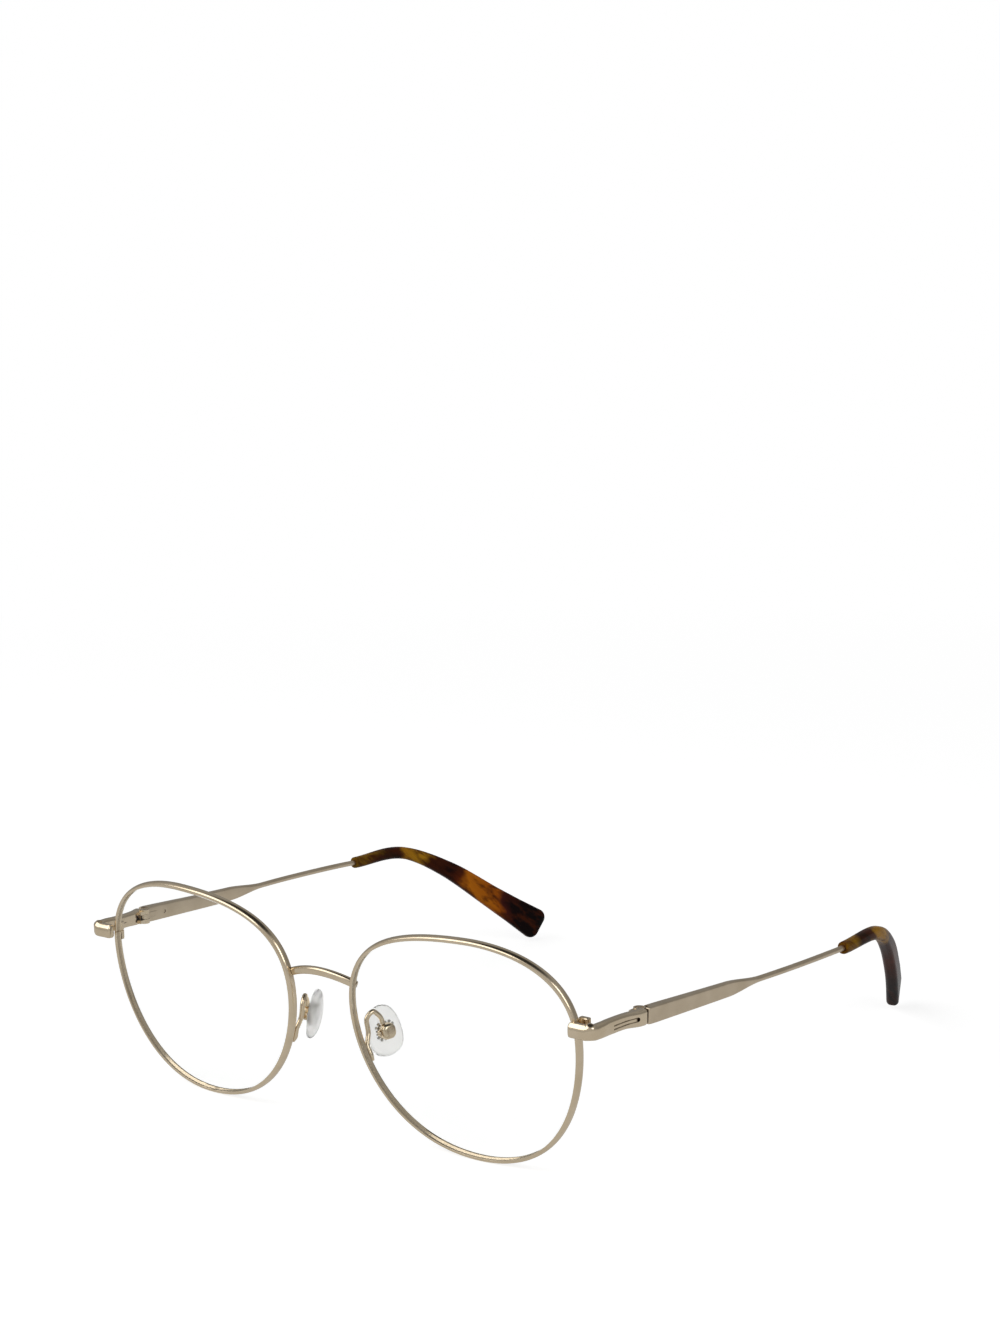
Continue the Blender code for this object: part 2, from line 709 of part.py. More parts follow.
def side_cuts():
    """Two flutes that end in a dimple outside, and the seam that ends in the slot inside."""
    face = SIDE_OUT + SIDE_THICKNESS / 2
    rear = HINGE.y - COVER_GAP
    dimple_y = rear - COVER_BACK
    dimple_x = HINGE.x + TEMPLE_LINE[0][0] - COVER_INSET + PADDLE_THICKNESS[0] * 0.48
    sideways = Matrix.Translation((dimple_x, dimple_y, HINGE.z)) @ Matrix.Rotation(pi / 2, 4, "Y")
    cuts = []
    for rise in (-1, 1):
        level = HINGE.z + rise * FLUTE_SPREAD / 2
        knees = [Vector((face + FLUTE_LIFT, FLUTE_START + FLUTE_LEAD, level)),
                 Vector((face + SIDE_BULGE + FLUTE_LIFT, rear - SWELL_BACK, level)),
                 Vector((dimple_x - FLUTE_LIFT, dimple_y, level))]
        cuts.append(tube(knees, FLUTE_WIDTH / 2))
    cuts.append(drum(DIMPLE_RADIUS, -FLUTE_DEPTH * 1.5, SIDE_THICKNESS, sideways, SMALL_STEPS))
    seam = SIDE_OUT - SIDE_THICKNESS / 2
    start = bar_seat() + SEAM_LEAD
    end = HINGE.y - SLOT_REACH + SEAM_LAP
    cuts.append(block((seam - SIDE_THICKNESS, start, HINGE.z - SEAM_WIDTH / 2),
                      (seam + FLUTE_DEPTH, end, HINGE.z + SEAM_WIDTH / 2)))
    return cuts


def lock_place():
    """Low and high corners of the closed lock; it stands square behind the rim's temporal side."""
    crossing = rim_point(rim_angle_at(END_LEVEL - LOCK_DROP))
    back = rim_point(rim_angle_at(END_LEVEL - LOCK_DROP), 0, RIM_DEPTH / 2)
    low = Vector((crossing.x - LOCK_INBOARD, back.y - LOCK_FRONT, crossing.z - LOCK_HEIGHT / 2))
    return low, Vector((low.x + LOCK_WIDTH, back.y + LOCK_REAR, crossing.z + LOCK_HEIGHT / 2))


def rim_lock(upper):
    """Half of the block that clamps the rim's ends: saddled to the rim and bored for its screw."""
    low, high = lock_place()
    middle = (low + high) / 2
    closed = block(low, high, Matrix(), LOCK_EDGE)
    axis = Matrix.Translation((high.x - LOCK_HEAD_RADIUS - LOCK_EDGE, middle.y, 0))
    below = low.z - LOCK_CAP
    drill = drum(LOCK_SCREW_RADIUS + RUN_GAP, below, high.z - LOCK_CAP, axis, SMALL_STEPS)
    well = drum(LOCK_HEAD_RADIUS + RUN_GAP, below, low.z + LOCK_HEAD_HEIGHT, axis, SMALL_STEPS)
    margin = Vector((LOCK_CAP, LOCK_CAP, LOCK_CAP))
    if upper:
        waste = block(low - margin, (high.x + LOCK_CAP, high.y + LOCK_CAP, middle.z + SPLIT_GAP / 2))
    else:
        waste = block((low.x - LOCK_CAP, low.y - LOCK_CAP, middle.z - SPLIT_GAP / 2), high + margin)
    return cut(closed, waste, drill, well, rim_room())


def rim_screw():
    """The screw that draws the two halves of the lock together, head down."""
    low, high = lock_place()
    tip = high.z - LOCK_CAP - RUN_GAP
    seat = low.z + LOCK_HEAD_HEIGHT - RUN_GAP
    corner = (high.x - LOCK_HEAD_RADIUS - LOCK_EDGE, (low.y + high.y) / 2, tip)
    flip = Matrix.Translation(corner) @ Matrix.Rotation(pi, 4, "X")
    head = LOCK_HEAD_HEIGHT - 2 * RUN_GAP
    return slotted_screw(LOCK_SCREW_RADIUS, tip - seat, LOCK_HEAD_RADIUS, head, flip)


def hinge_screw():
    half = BARREL_HEIGHT / 2
    length = BARREL_HEIGHT - HINGE_HEAD_HEIGHT
    foot = Matrix.Translation(HINGE - Vector((0, 0, half)))
    return slotted_screw(HINGE_SCREW_RADIUS, length, HINGE_HEAD_RADIUS, HINGE_HEAD_HEIGHT,
                         foot @ Matrix.Rotation(radians(35), 4, "Z"))


# Temple


def temple_centre(back):
    """A point of the temple's centre line, by its distance behind the hinge."""
    line = np.array(TEMPLE_LINE)[1:]
    y = line[:, 1]
    slopes = np.gradient(line[:, (0, 2)], y, axis=0)
    if back <= y[0]:
        out, up = line[0, (0, 2)] + (back - y[0]) * (line[1, (0, 2)] - line[0, (0, 2)]) / (y[1] - y[0])
        return HINGE + Vector((out, back, up))
    i = min(int(np.searchsorted(y, back)) - 1, len(y) - 2)
    span = y[i + 1] - y[i]
    t = (back - y[i]) / span
    h = (2 * t ** 3 - 3 * t ** 2 + 1, t ** 3 - 2 * t ** 2 + t, 3 * t ** 2 - 2 * t ** 3, t ** 3 - t ** 2)
    out, up = (line[i, (0, 2)] * h[0] + slopes[i] * span * h[1]
               + line[i + 1, (0, 2)] * h[2] + slopes[i + 1] * span * h[3])
    return HINGE + Vector((out, back, up))


def temple_ring(back, half_width, half_height, corner, shift=0.0, twist=0.0):
    """A section square to the centre line, slid along it by shift and turned about it by twist."""
    step = 0.2 * MM
    ahead = (temple_centre(back + step) - temple_centre(back - step)).normalized()
    up = Vector((1, 0, 0)).cross(ahead).normalized()
    across = ahead.cross(up)
    upright = up * cos(twist) - across * sin(twist)
    level = across * cos(twist) + up * sin(twist)
    return section(temple_centre(back) + ahead * shift, level, upright, half_width, half_height, corner)


def flex_frame():
    """Directions at the temple's root: Y runs down the temple, from the hinge's axis."""
    ahead = (temple_centre(PADDLE_LENGTH / 2) - temple_centre(PADDLE_FULL)).normalized()
    up = Vector((1, 0, 0)).cross(ahead).normalized()
    across = ahead.cross(up)
    turn = Matrix((across, ahead, up)).transposed().to_4x4()
    return Matrix.Translation(HINGE) @ turn


def along_rod(start, place):
    """A frame whose Z runs back along the flex rod from a distance behind the hinge."""
    return place @ Matrix.Translation((ROD_OFFSET, start, 0)) @ Matrix.Rotation(-pi / 2, 4, "X")


def pin_place():
    """A frame whose Z runs outward through the middle of the bush."""
    middle = Matrix.Translation((0, BUSH_START + BUSH_LENGTH / 2, 0))
    return flex_frame() @ middle @ Matrix.Rotation(pi / 2, 4, "Y")


def core_stations():
    """Where the core wire bends inside the tip; its hole follows the same stations."""
    return np.linspace(TIP_START, TIP_END - CORE_INSET, 13)


def temple():
    """Paddle, flare and wire in one piece, hollowed for the flex hinge; its core runs into the tip."""
    start = TEMPLE_LINE[0][1]
    wide = PADDLE_THICKNESS[0] / 2
    thin = PADDLE_THICKNESS[1] / 2
    tall = PADDLE_HEIGHT[0] / 2
    low = PADDLE_HEIGHT[1] / 2
    rings = [
        temple_ring(start, wide * 0.76, tall * 0.78, PADDLE_CORNER),
        temple_ring(start + ROOT_EDGE / 3, wide * 0.92, tall * 0.9, PADDLE_CORNER),
        temple_ring(start + ROOT_EDGE, wide, tall * 0.97, PADDLE_CORNER),
        temple_ring(start + 4 * ROOT_EDGE, wide, tall, PADDLE_CORNER),
    ]
    for t in np.linspace(0, 1, 4):
        back = PADDLE_FULL + (PADDLE_LENGTH - PADDLE_FULL) * t
        rings.append(temple_ring(back, wide + (thin - wide) * t, tall + (low - tall) * t, PADDLE_CORNER))
    for t in np.linspace(0, 1, 7)[1:]:
        ease = t * t * (3 - 2 * t)
        sizes = [size + (WIRE_RADIUS - size) * ease for size in (thin, low, PADDLE_CORNER)]
        rings.append(temple_ring(PADDLE_LENGTH + FLARE_LENGTH * t, *sizes))
    for back in (PADDLE_LENGTH + FLARE_LENGTH + WIRE_END, TIP_START - WIRE_END, *core_stations()):
        rings.append(temple_ring(back, WIRE_RADIUS, WIRE_RADIUS, WIRE_RADIUS))
    body = loft(rings)

    root = flex_frame()
    here = Matrix.Translation(HINGE)
    beyond = PADDLE_HEIGHT[0]
    barrel_room = BARREL_RADIUS + 2 * SEAT_GAP
    clearance = block((-beyond, -beyond, -beyond), (BARREL_RADIUS + SEAT_GAP, barrel_room, beyond), here)
    pocket_half = EYE_THICKNESS / 2 + RUN_GAP
    pocket_end = CARRIAGE_START + CARRIAGE_LENGTH + SEAT_GAP
    pocket_side = ROD_OFFSET + CARRIAGE_OUTER + RUN_GAP
    pocket = block((-beyond, -beyond, -pocket_half), (pocket_side, pocket_end, pocket_half), root)
    bore_end = BUSH_START + BUSH_LENGTH + SPRING_LENGTH + STOP_LENGTH * 2
    bore_start = pocket_end - SEAT_GAP
    bore = drum(BORE_RADIUS, 0, bore_end - bore_start, along_rod(bore_start, root), SMALL_STEPS + 4)
    pin_hole = drum(PIN_RADIUS + RUN_GAP, -PADDLE_THICKNESS[0], ROD_OFFSET, pin_place(), SMALL_STEPS)
    return cut(body, clearance, pocket, bore, pin_hole)


def flex_slider():
    """The sprung carriage: an eye on the hinge screw, a block in the temple's pocket and a rod."""
    root = flex_frame()
    here = Matrix.Translation(HINGE)
    half = EYE_THICKNESS / 2
    eye = drum(EYE_RADIUS, -half, half, here)
    end = CARRIAGE_START + CARRIAGE_LENGTH
    carriage = block((CARRIAGE_INNER, CARRIAGE_START, -half), (ROD_OFFSET + CARRIAGE_OUTER, end, half), root)
    knuckle_end = BARREL_RADIUS + 2 * SEAT_GAP
    level = half - RUN_GAP / 2
    beyond = BARREL_HEIGHT
    above = block((-beyond, -beyond, level), (beyond, knuckle_end, beyond), here)
    below = block((-beyond, -beyond, -beyond), (beyond, knuckle_end, -level), here)
    rod_end = BUSH_START + BUSH_LENGTH + SPRING_LENGTH + STOP_LENGTH + ROD_TIP
    rod = drum(ROD_RADIUS, -ROD_ROOT, rod_end - end, along_rod(end, root), SMALL_STEPS)
    return cut(join(eye, cut(carriage, above, below), rod), hinge_holes(HINGE_SCREW_RADIUS + RUN_GAP))


def flex_bush():
    """The fixed guide in the temple's bore, grooved for its pin."""
    outer = BUSH_RADIUS
    groove = outer - BUSH_GROOVE
    inner = ROD_RADIUS + RUN_GAP
    mid = BUSH_LENGTH / 2
    slot = PIN_RADIUS + RUN_GAP
    profile = ((inner, BUSH_LENGTH), (outer, BUSH_LENGTH), (outer, mid + slot), (groove, mid + slot),
               (groove, mid - slot), (outer, mid - slot), (outer, 0), (inner, 0))
    return turned(profile, along_rod(BUSH_START, flex_frame()), SMALL_STEPS)


def bush_pin():
    """A pin from the temple's inner face into the bush's groove."""
    face = TEMPLE_LINE[1][0] - PADDLE_THICKNESS[0] / 2
    inner_end = ROD_OFFSET - BUSH_RADIUS + BUSH_GROOVE - RUN_GAP
    return drum(PIN_RADIUS, face + PIN_INSET, inner_end, pin_place(), SMALL_STEPS)


def flex_spring():
    """An open coil between the fixed bush and the stop on the rod."""
    radius = (ROD_RADIUS + BORE_RADIUS) / 2
    start = SPRING_WIRE / 2 + SEAT_GAP
    rise = SPRING_LENGTH - 2 * start
    points = []
    for t in np.linspace(0, 1, SPRING_TURNS * 8 + 1):
        angle = t * SPRING_TURNS * 2 * pi
        points.append(Vector((radius * cos(angle), radius * sin(angle), start + rise * t)))
    pitch = rise / SPRING_TURNS
    print("flex spring: least gap between turns %.2f mm" % ((pitch - SPRING_WIRE) / MM))
    mesh = tube(points, SPRING_WIRE / 2)
    mesh.transform(along_rod(BUSH_START + BUSH_LENGTH, flex_frame()))
    return mesh


def flex_stop():
    """The collar pressed on the rod's end, which loads the spring."""
    inner = ROD_RADIUS + RUN_GAP
    profile = ((inner, STOP_LENGTH), (BUSH_RADIUS, STOP_LENGTH), (BUSH_RADIUS, 0), (inner, 0))
    start = BUSH_START + BUSH_LENGTH + SPRING_LENGTH
    return turned(profile, along_rod(start, flex_frame()), SMALL_STEPS)


def temple_tip():
    """The moulded tip: slim over the wire, bent down behind the ear and wide at its cut end."""
    root = (TIP_ROOT_THICK, TIP_SLIM, TIP_CORNER)
    rings = [temple_ring(TIP_START, *(size * 0.9 for size in root)),
             temple_ring(TIP_START + TIP_LIP, *root)]
    full_end = TIP_END - TIP_ROUND
    for share in np.linspace(0.1, 1, 15):
        half = TIP_SLIM + (TIP_WIDE - TIP_SLIM) * float(np.interp(share, TIP_SHARES, TIP_SWELL))
        thick = TIP_ROOT_THICK + (TIP_THICK - TIP_ROOT_THICK) * min(1, share / TIP_THICK_FROM)
        turn = TIP_TWIST * float(np.interp(share, TIP_TWIST_SPAN, (0, 1)))
        rings.append(temple_ring(TIP_START + (full_end - TIP_START) * share, thick, half,
                                 min(TIP_CORNER, thick * 0.9), 0, turn))
    for angle in np.radians((30, 60, 85)):
        loss = 1 - cos(angle)
        rings.append(temple_ring(full_end, TIP_THICK - TIP_EDGE * loss, TIP_WIDE - TIP_ROUND * loss,
                                 TIP_CORNER - TIP_EDGE * loss, TIP_ROUND * sin(angle), TIP_TWIST))
    body = loft(rings)
    bore = WIRE_RADIUS + SEAT_GAP
    hole = [temple_ring(back, bore, bore, bore) for back in core_stations()]
    hole.insert(0, temple_ring(TIP_START - WIRE_END, bore, bore, bore))
    hole.append(temple_ring(TIP_END - CORE_INSET, bore, bore, bore, SEAT_GAP))
    return cut(body, loft(hole))


# Nose pads


def pad_frame():
    """Directions on the pad: X back, Y up and Z outward to its box."""
    down = Vector((sin(PAD_LEAN), sin(PAD_PITCH), -cos(PAD_LEAN))).normalized()
    back = Vector((sin(PAD_SPLAY), cos(PAD_SPLAY), 0))
    back = (back - down * back.dot(down)).normalized()
    outward = back.cross(-down)
    return Matrix.Translation(PAD_CENTRE) @ Matrix((back, -down, outward)).transposed().to_4x4()


def pad_outline(scale, rise):
    """An egg, fuller at its lower end."""
    points = []
    for i in range(PAD_STEPS):
        angle = 2 * pi * i / PAD_STEPS
        half_width = PAD_WIDTH / 2 * (1 - PAD_EGG * sin(angle))
        points.append(Vector((half_width * cos(angle) * scale, PAD_LENGTH / 2 * sin(angle) * scale, rise)))
    return points


def nose_pad():
    """A soft pad with a crowned face and a pocket for its insert."""
    rings = [(0.3, -PAD_CROWN), (0.68, -PAD_CROWN * 0.86), (0.9, -PAD_CROWN * 0.48), (1.0, -PAD_CROWN * 0.02),
             (0.96, PAD_BACK * 0.6), (0.8, PAD_BACK)]
    body = loft([pad_outline(scale, rise) for scale, rise in rings])
    room = INSERT_PLATE / 2 + Vector((SEAT_GAP, SEAT_GAP, 0))
    floor = PAD_BACK - INSERT_PLATE.z - SEAT_GAP
    body = cut(body, block((-room.x, -room.y, floor), (room.x, room.y, PAD_BACK * 2)))
    body.transform(pad_frame())
    return body


def pad_cross(start):
    """A frame on the pad's screw axis, Z running back from start."""
    return Matrix.Translation((start, 0, PAD_AXIS_RISE)) @ Matrix.Rotation(pi / 2, 4, "Y")


def pad_insert():
    """The plate bonded into the pad, with a drilled boss that stands in the box."""
    half = INSERT_PLATE / 2
    plate = block((-half.x, -half.y, PAD_BACK - INSERT_PLATE.z), (half.x, half.y, PAD_BACK))
    post = Vector((BOSS.x / 2, BOSS.y / 2, PAD_AXIS_RISE + BOSS.z))
    boss = block((-post.x, -post.y, PAD_BACK - half.z), post)
    drill = drum(PAD_SCREW_RADIUS + RUN_GAP, -BOSS.x, BOSS.x, pad_cross(0), SMALL_STEPS)
    mesh = cut(join(plate, boss), drill)
    mesh.transform(pad_frame())
    return mesh


def pad_box():
    """The cup on the arm's end, open to the pad and drilled across."""
    half = BOX_SIZE / 2
    top = BOX_START + BOX_SIZE.z
    shell = block((-half.x, -half.y, BOX_START - BOX_EDGE), (half.x, half.y, top), Matrix(), BOX_EDGE)
    trim = block((-2 * half.x, -2 * half.y, BOX_START - 2 * BOX_EDGE), (2 * half.x, 2 * half.y, BOX_START))
    inside = Vector((half.x - BOX_WALL * 1.5, half.y - BOX_WALL, top - BOX_WALL * 1.2))
    room = block((-inside.x, -inside.y, 0), inside)
    drill = drum(PAD_SCREW_RADIUS + RUN_GAP, -BOX_SIZE.x, BOX_SIZE.x, pad_cross(0), SMALL_STEPS)
    mesh = cut(shell, trim, room, drill)
    mesh.transform(pad_frame())
    return mesh


def pad_screw():
    """The screw across the box on which the pad rocks, its head at the front."""
    seat = -BOX_SIZE.x / 2 - RUN_GAP
    rear = BOX_SIZE.x / 2 - RUN_GAP
    place = Matrix.Translation((rear, 0, PAD_AXIS_RISE)) @ Matrix.Rotation(-pi / 2, 4, "Y")
    return slotted_screw(PAD_SCREW_RADIUS, rear - seat, PAD_HEAD_RADIUS, PAD_HEAD_HEIGHT, pad_frame() @ place)


def arm_line():
    """Stations of the pad arm: the foot behind the rim, the arch and the end on the box."""
    back = RIM_DEPTH / 2 + SEAT_GAP + FOOT_HALF_THICKNESS
    foot = [rim_point(angle, -RUN_GAP, back) for angle in np.linspace(FOOT_FROM, FOOT_TO, 4)]
    end = pad_frame() @ Vector((-ARM_FORWARD, BOX_SIZE.y / 2 + SEAT_GAP, ARM_RISE))
    before = pad_frame() @ Vector((-ARM_FORWARD, BOX_SIZE.y / 2 + 2 * ARM_RADIUS, ARM_RISE))
    rows = [(*foot[0], 0.4 * FOOT_HALF_WIDTH, 0.5 * FOOT_HALF_THICKNESS)]
    rows += [(*point, FOOT_HALF_WIDTH, FOOT_HALF_THICKNESS) for point in foot[1:3]]
    rows += [(*(foot[3] + Vector((0, 2 * RUN_GAP, 0))), ARM_RADIUS, ARM_RADIUS * 0.95)]
    rows += [(*point, ARM_RADIUS, ARM_RADIUS) for point in (*ARM_ARCH, before, end)]
    return rows


def pad_arm():
    """A wire that swells from a flat brazed foot, rises, arches over and drops to the pad's box."""
    rows = smooth_row(arm_line(), 3)
    centres = [Vector(row[:3]) for row in rows]
    across = Vector((1, 0, 0))
    rings = []
    for i, row in enumerate(rows):
        ahead = (centres[min(i + 1, len(rows) - 1)] - centres[max(i - 1, 0)]).normalized()
        across = (across - ahead * across.dot(ahead)).normalized()
        up = across.cross(ahead)
        rings.append(section(centres[i], across, up, row[3], row[4], min(row[3:]), 2))
    return cut(loft(rings), rim_room())


# Assembly


def finish_mesh(mesh, finish):
    """Give a mesh its material and smooth its round faces."""
    mesh.materials.clear()
    mesh.materials.append(finish)
    mesh.shade_smooth()
    mesh.set_sharp_from_angle(angle=radians(32))
    return mesh


def mirrored(mesh):
    copy = mesh.copy()
    copy.transform(Matrix.Scale(-1, 4, (1, 0, 0)))
    copy.flip_normals()
    return copy


def empty(name, at, parent=None):
    obj = bpy.data.objects.new(name, None)
    obj.empty_display_size = 3 * MM
    obj.location = at
    obj.parent = parent
    PARTS.objects.link(obj)
    return obj


def place_piece(name, mesh, finish, origin, parent):
    """Link a piece, with its own origin where its parent stands."""
    mesh.transform(Matrix.Translation(-Vector(origin)))
    mesh.name = name
    obj = bpy.data.objects.new(name, finish_mesh(mesh, finish))
    obj.parent = parent
    base = parent.location if parent.parent else Vector((0, 0, 0))
    obj.location = Vector(origin) - base
    PARTS.objects.link(obj)
    return obj


def stand_on_table(root):
    """Move the whole frame so that it stands on z = 0 with the middle of its box at x = y = 0."""
    bpy.context.view_layer.update()
    corners = []
    for obj in PARTS.objects:
        if obj.type == "MESH":
            corners += [obj.matrix_world @ vertex.co for vertex in obj.data.vertices]
    spots = np.array([tuple(corner) for corner in corners])
    low = spots.min(axis=0)
    high = spots.max(axis=0)
    root.location = (0, -(low[1] + high[1]) / 2, -low[2])
    print("box %.2f x %.2f x %.2f mm, moved by %.3f and %.3f mm"
          % (*((high - low) / MM), root.location.y / MM, root.location.z / MM))


def build():
    gold = material("polished_gold", (0.72, 0.62, 0.46), 0.22, 1.0)
    satin = material("satin_gold", (0.66, 0.58, 0.45), 0.38, 1.0)
    steel = material("spring_steel", (0.62, 0.61, 0.58), 0.3, 1.0)
    glass = material("demo_lens", (0.98, 0.99, 0.98), 0.02, 0.0, 1.0)
    silicone = material("silicone", (0.86, 0.86, 0.82), 0.35, 0.0, 0.6)
    tortoise = material("tortoise_acetate", (0.28, 0.13, 0.035), 0.16)

    root = empty("eyeglasses", (0, 0, 0))
    pad_axis = pad_frame() @ Vector((0, 0, PAD_AXIS_RISE))
    fixed = (0, 0, 0)
    pieces = [
        ("rim", rim(), gold, "front"),
        ("lens", lens(), glass, "front"),
        ("end_piece", end_piece(), satin, "front"),
        ("rim_lock_upper", rim_lock(True), gold, "front"),
        ("rim_lock_lower", rim_lock(False), gold, "front"),
        ("rim_screw", rim_screw(), gold, "front"),
        ("hinge_screw", hinge_screw(), gold, "front"),
        ("pad_arm", pad_arm(), gold, "front"),
        ("pad_box", pad_box(), gold, "front"),
        ("pad_screw", pad_screw(), gold, "front"),
        ("nose_pad", nose_pad(), silicone, "pad"),
        ("pad_insert", pad_insert(), steel, "pad"),
        ("flex_slider", flex_slider(), satin, "hinge"),
        ("flex_stop", flex_stop(), steel, "hinge"),
        ("flex_spring", flex_spring(), steel, "hinge"),
        ("flex_bush", flex_bush(), steel, "hinge"),
        ("bush_pin", bush_pin(), satin, "hinge"),
        ("temple", temple(), satin, "hinge"),
        ("temple_tip", temple_tip(), tortoise, "hinge"),
    ]
    place_piece("bridge", bridge(), gold, fixed, root)
    for side, sign in SIDES.items():
        flip = Matrix.Scale(sign, 4, (1, 0, 0))
        pivots = {"front": fixed, "hinge": flip @ HINGE, "pad": flip @ pad_axis}
        parents = {"front": root,
                   "hinge": empty("hinge_axis_" + side, pivots["hinge"], root),
                   "pad": empty("pad_axis_" + side, pivots["pad"], root)}
        for name, mesh, finish, carried in pieces:
            shape = mesh.copy() if sign > 0 else mirrored(mesh)
            place_piece(name + "_" + side, shape, finish, pivots[carried], parents[carried])
    stand_on_table(root)
    print("hinge axis", [round(c / MM, 3) for c in HINGE + root.location])
    print("pad axis", [round(c / MM, 3) for c in pad_axis + root.location])


clear_scene()
PARTS = new_collection("eyeglasses")
CUTTERS = new_collection("cutters")
build()
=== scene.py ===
"""Looks for the round wire eyeglasses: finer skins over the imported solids, materials, light and camera."""

from math import atan2, cos, pi, radians, sin

import bmesh
import bpy
import numpy as np
from mathutils import Matrix, Vector


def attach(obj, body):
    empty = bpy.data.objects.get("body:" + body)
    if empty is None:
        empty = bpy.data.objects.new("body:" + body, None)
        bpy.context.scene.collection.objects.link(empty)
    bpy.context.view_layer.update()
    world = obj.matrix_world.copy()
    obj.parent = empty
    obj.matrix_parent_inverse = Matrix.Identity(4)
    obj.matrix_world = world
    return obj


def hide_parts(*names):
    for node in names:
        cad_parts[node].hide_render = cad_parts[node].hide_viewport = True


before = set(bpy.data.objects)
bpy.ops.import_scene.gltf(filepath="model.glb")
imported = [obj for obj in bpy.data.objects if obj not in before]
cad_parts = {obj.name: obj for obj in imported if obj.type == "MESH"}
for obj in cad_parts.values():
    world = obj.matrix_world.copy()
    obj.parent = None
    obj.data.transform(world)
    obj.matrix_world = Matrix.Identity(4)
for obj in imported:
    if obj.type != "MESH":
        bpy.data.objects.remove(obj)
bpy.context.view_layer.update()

MM = 0.001


def mm(*sizes):
    """Lengths in metres from lengths in millimetres."""
    return [size * MM for size in sizes]


# Clearances of seats, of running fits and in the rim's split; the reach of merged points
SEAT_GAP, RUN_GAP, SPLIT_GAP, WELD = mm(0.08, 0.05, 0.2, 0.0005)

# Front: the rim's centre line, flat, with u outward and v up from the lens datum
LENS_PITCH = 72.0 * MM
EYE_WIDTH, EYE_HEIGHT = mm(54.66, 47.16)
EYE_MIDDLE = mm(-0.35, -0.87)
TEMPORAL_RISE, NASAL_RISE = mm(5.51, 4.68)
TOP_OUTSET, BOTTOM_OUTSET = mm(3.13, 2.04)
# The handles at the start and end of each quarter, from the temporal side over the top
FULLNESS = ((0.82, 0.39), (0.73, 0.62), (0.39, 0.72), (0.77, 0.40))
BASE_RADIUS = 150.0 * MM
WRAP = radians(3.53)
FRONT_TILT = radians(8.2)

# Rim wire
RIM_WIDTH, RIM_DEPTH, RIM_CROWN, RIM_LIP = mm(0.96, 1.85, 0.5, 0.07)
GROOVE_DEPTH, GROOVE_HEIGHT = mm(0.38, 0.84)
RIM_STEPS = 44
LOCK_DROP = 0.35 * MM
NASAL = LENS_PITCH / 2 + EYE_MIDDLE[0] - EYE_WIDTH / 2
TEMPORAL = LENS_PITCH / 2 + EYE_MIDDLE[0] + EYE_WIDTH / 2

# Lens: its rings and ridge as shares of the way to its shoulder
LENS_THICKNESS = 1.7 * MM
LENS_STEPS = 176
LENS_RINGS = (0.2, 0.4, 0.6, 0.8)
LENS_RIDGE = 1.1

# Bridge
BRIDGE_HEIGHT, BRIDGE_THICKNESS = mm(1.75, 1.5)
BRIDGE_RISE, BRIDGE_ARCH, BRIDGE_BOW = mm(8.25, 1.85, 1.5)
BRIDGE_LAP, BRIDGE_SEAT, BRIDGE_ROUND = mm(0.8, 1.0, 0.3)
BRIDGE_END_SHARE = 0.7

# End piece
END_LEVEL = 8.55 * MM
BAR_THICKNESS, BAR_HEIGHT, BAR_INBOARD = mm(1.9, 3.0, 0.35)
# How the bar's inner end rounds off: distance in, shares of its thickness and height, ridge
BAR_END = ((0.0, 0.55, 0.62, 0.5), (0.16 * MM, 0.84, 0.87, 0.8), (0.5 * MM, 1, 1, 1))
ELBOW_INNER, ELBOW_HEIGHT, ELBOW_LEVEL = mm(0.3, 3.35, 8.8)
CORNER_OUT = TEMPORAL + 5.15 * MM
SIDE_OUT = TEMPORAL + 4.17 * MM
SIDE_THICKNESS, SIDE_HEIGHT, SIDE_BULGE = mm(1.8, 3.0, 0.2)
FLUTE_DEPTH, FLUTE_WIDTH, FLUTE_SPREAD, FLUTE_START, FLUTE_KNEE = mm(0.12, 0.32, 0.72, 7.0, 5.6)
DIMPLE_RADIUS, DIMPLE_DEPTH, SEAM_WIDTH = mm(0.42, 0.4, 0.16)

# Hinge
HINGE = Vector((TEMPORAL + 4.22 * MM, 17.43 * MM, 8.2 * MM))
BARREL_RADIUS, BARREL_HEIGHT, EYE_THICKNESS = mm(1.25, 3.15, 1.1)
# A screw's shank radius, head radius and head height
HINGE_SCREW = mm(0.5, 0.8, 0.32)
SCREW_TURN = radians(35)
JOINT_EDGE = 0.42 * MM
JOINT_INSET = JOINT_EDGE * 0.7
SLOT_REACH, GUSSET_REACH, GUSSET_STEP = mm(3.2, 2.3, 0.25)
SLOT_HALF = EYE_THICKNESS / 2 + RUN_GAP

# Flex hinge
ROD_OFFSET, BORE_RADIUS, BORE_SPARE = mm(1.08, 0.62, 0.8)
CARRIAGE_OUTER, CARRIAGE_LENGTH, CARRIAGE_START = mm(0.42, 3.7, 0.5)
BUSH_START, BUSH_LENGTH, PIN_RADIUS = mm(6.5, 1.6, 0.34)
SPRING_LENGTH, STOP_LENGTH = mm(5.0, 0.8)

# Temple: offsets from the hinge, outward, back and up, along its centre line
TEMPLE_LINE = (mm(1.11, 0.2, 0.0), mm(1.24, 3.91, -0.18), mm(2.08, 28.28, -1.36),
               mm(3.28, 52.25, -2.13), mm(2.99, 75.42, -3.05), mm(1.1, 95.3, -4.35),
               mm(-2.6, 106.5, -10.2), mm(-8.0, 119.5, -20.0), mm(-13.91, 131.77, -29.5))
PADDLE_THICKNESS = mm(2.16, 1.6)
PADDLE_HEIGHT = mm(3.5, 3.05)
PADDLE_CORNER, PADDLE_START, PADDLE_LENGTH = mm(0.34, 3.9, 28.3)
FLARE_LENGTH, WIRE_RADIUS = mm(12.5, 0.635)

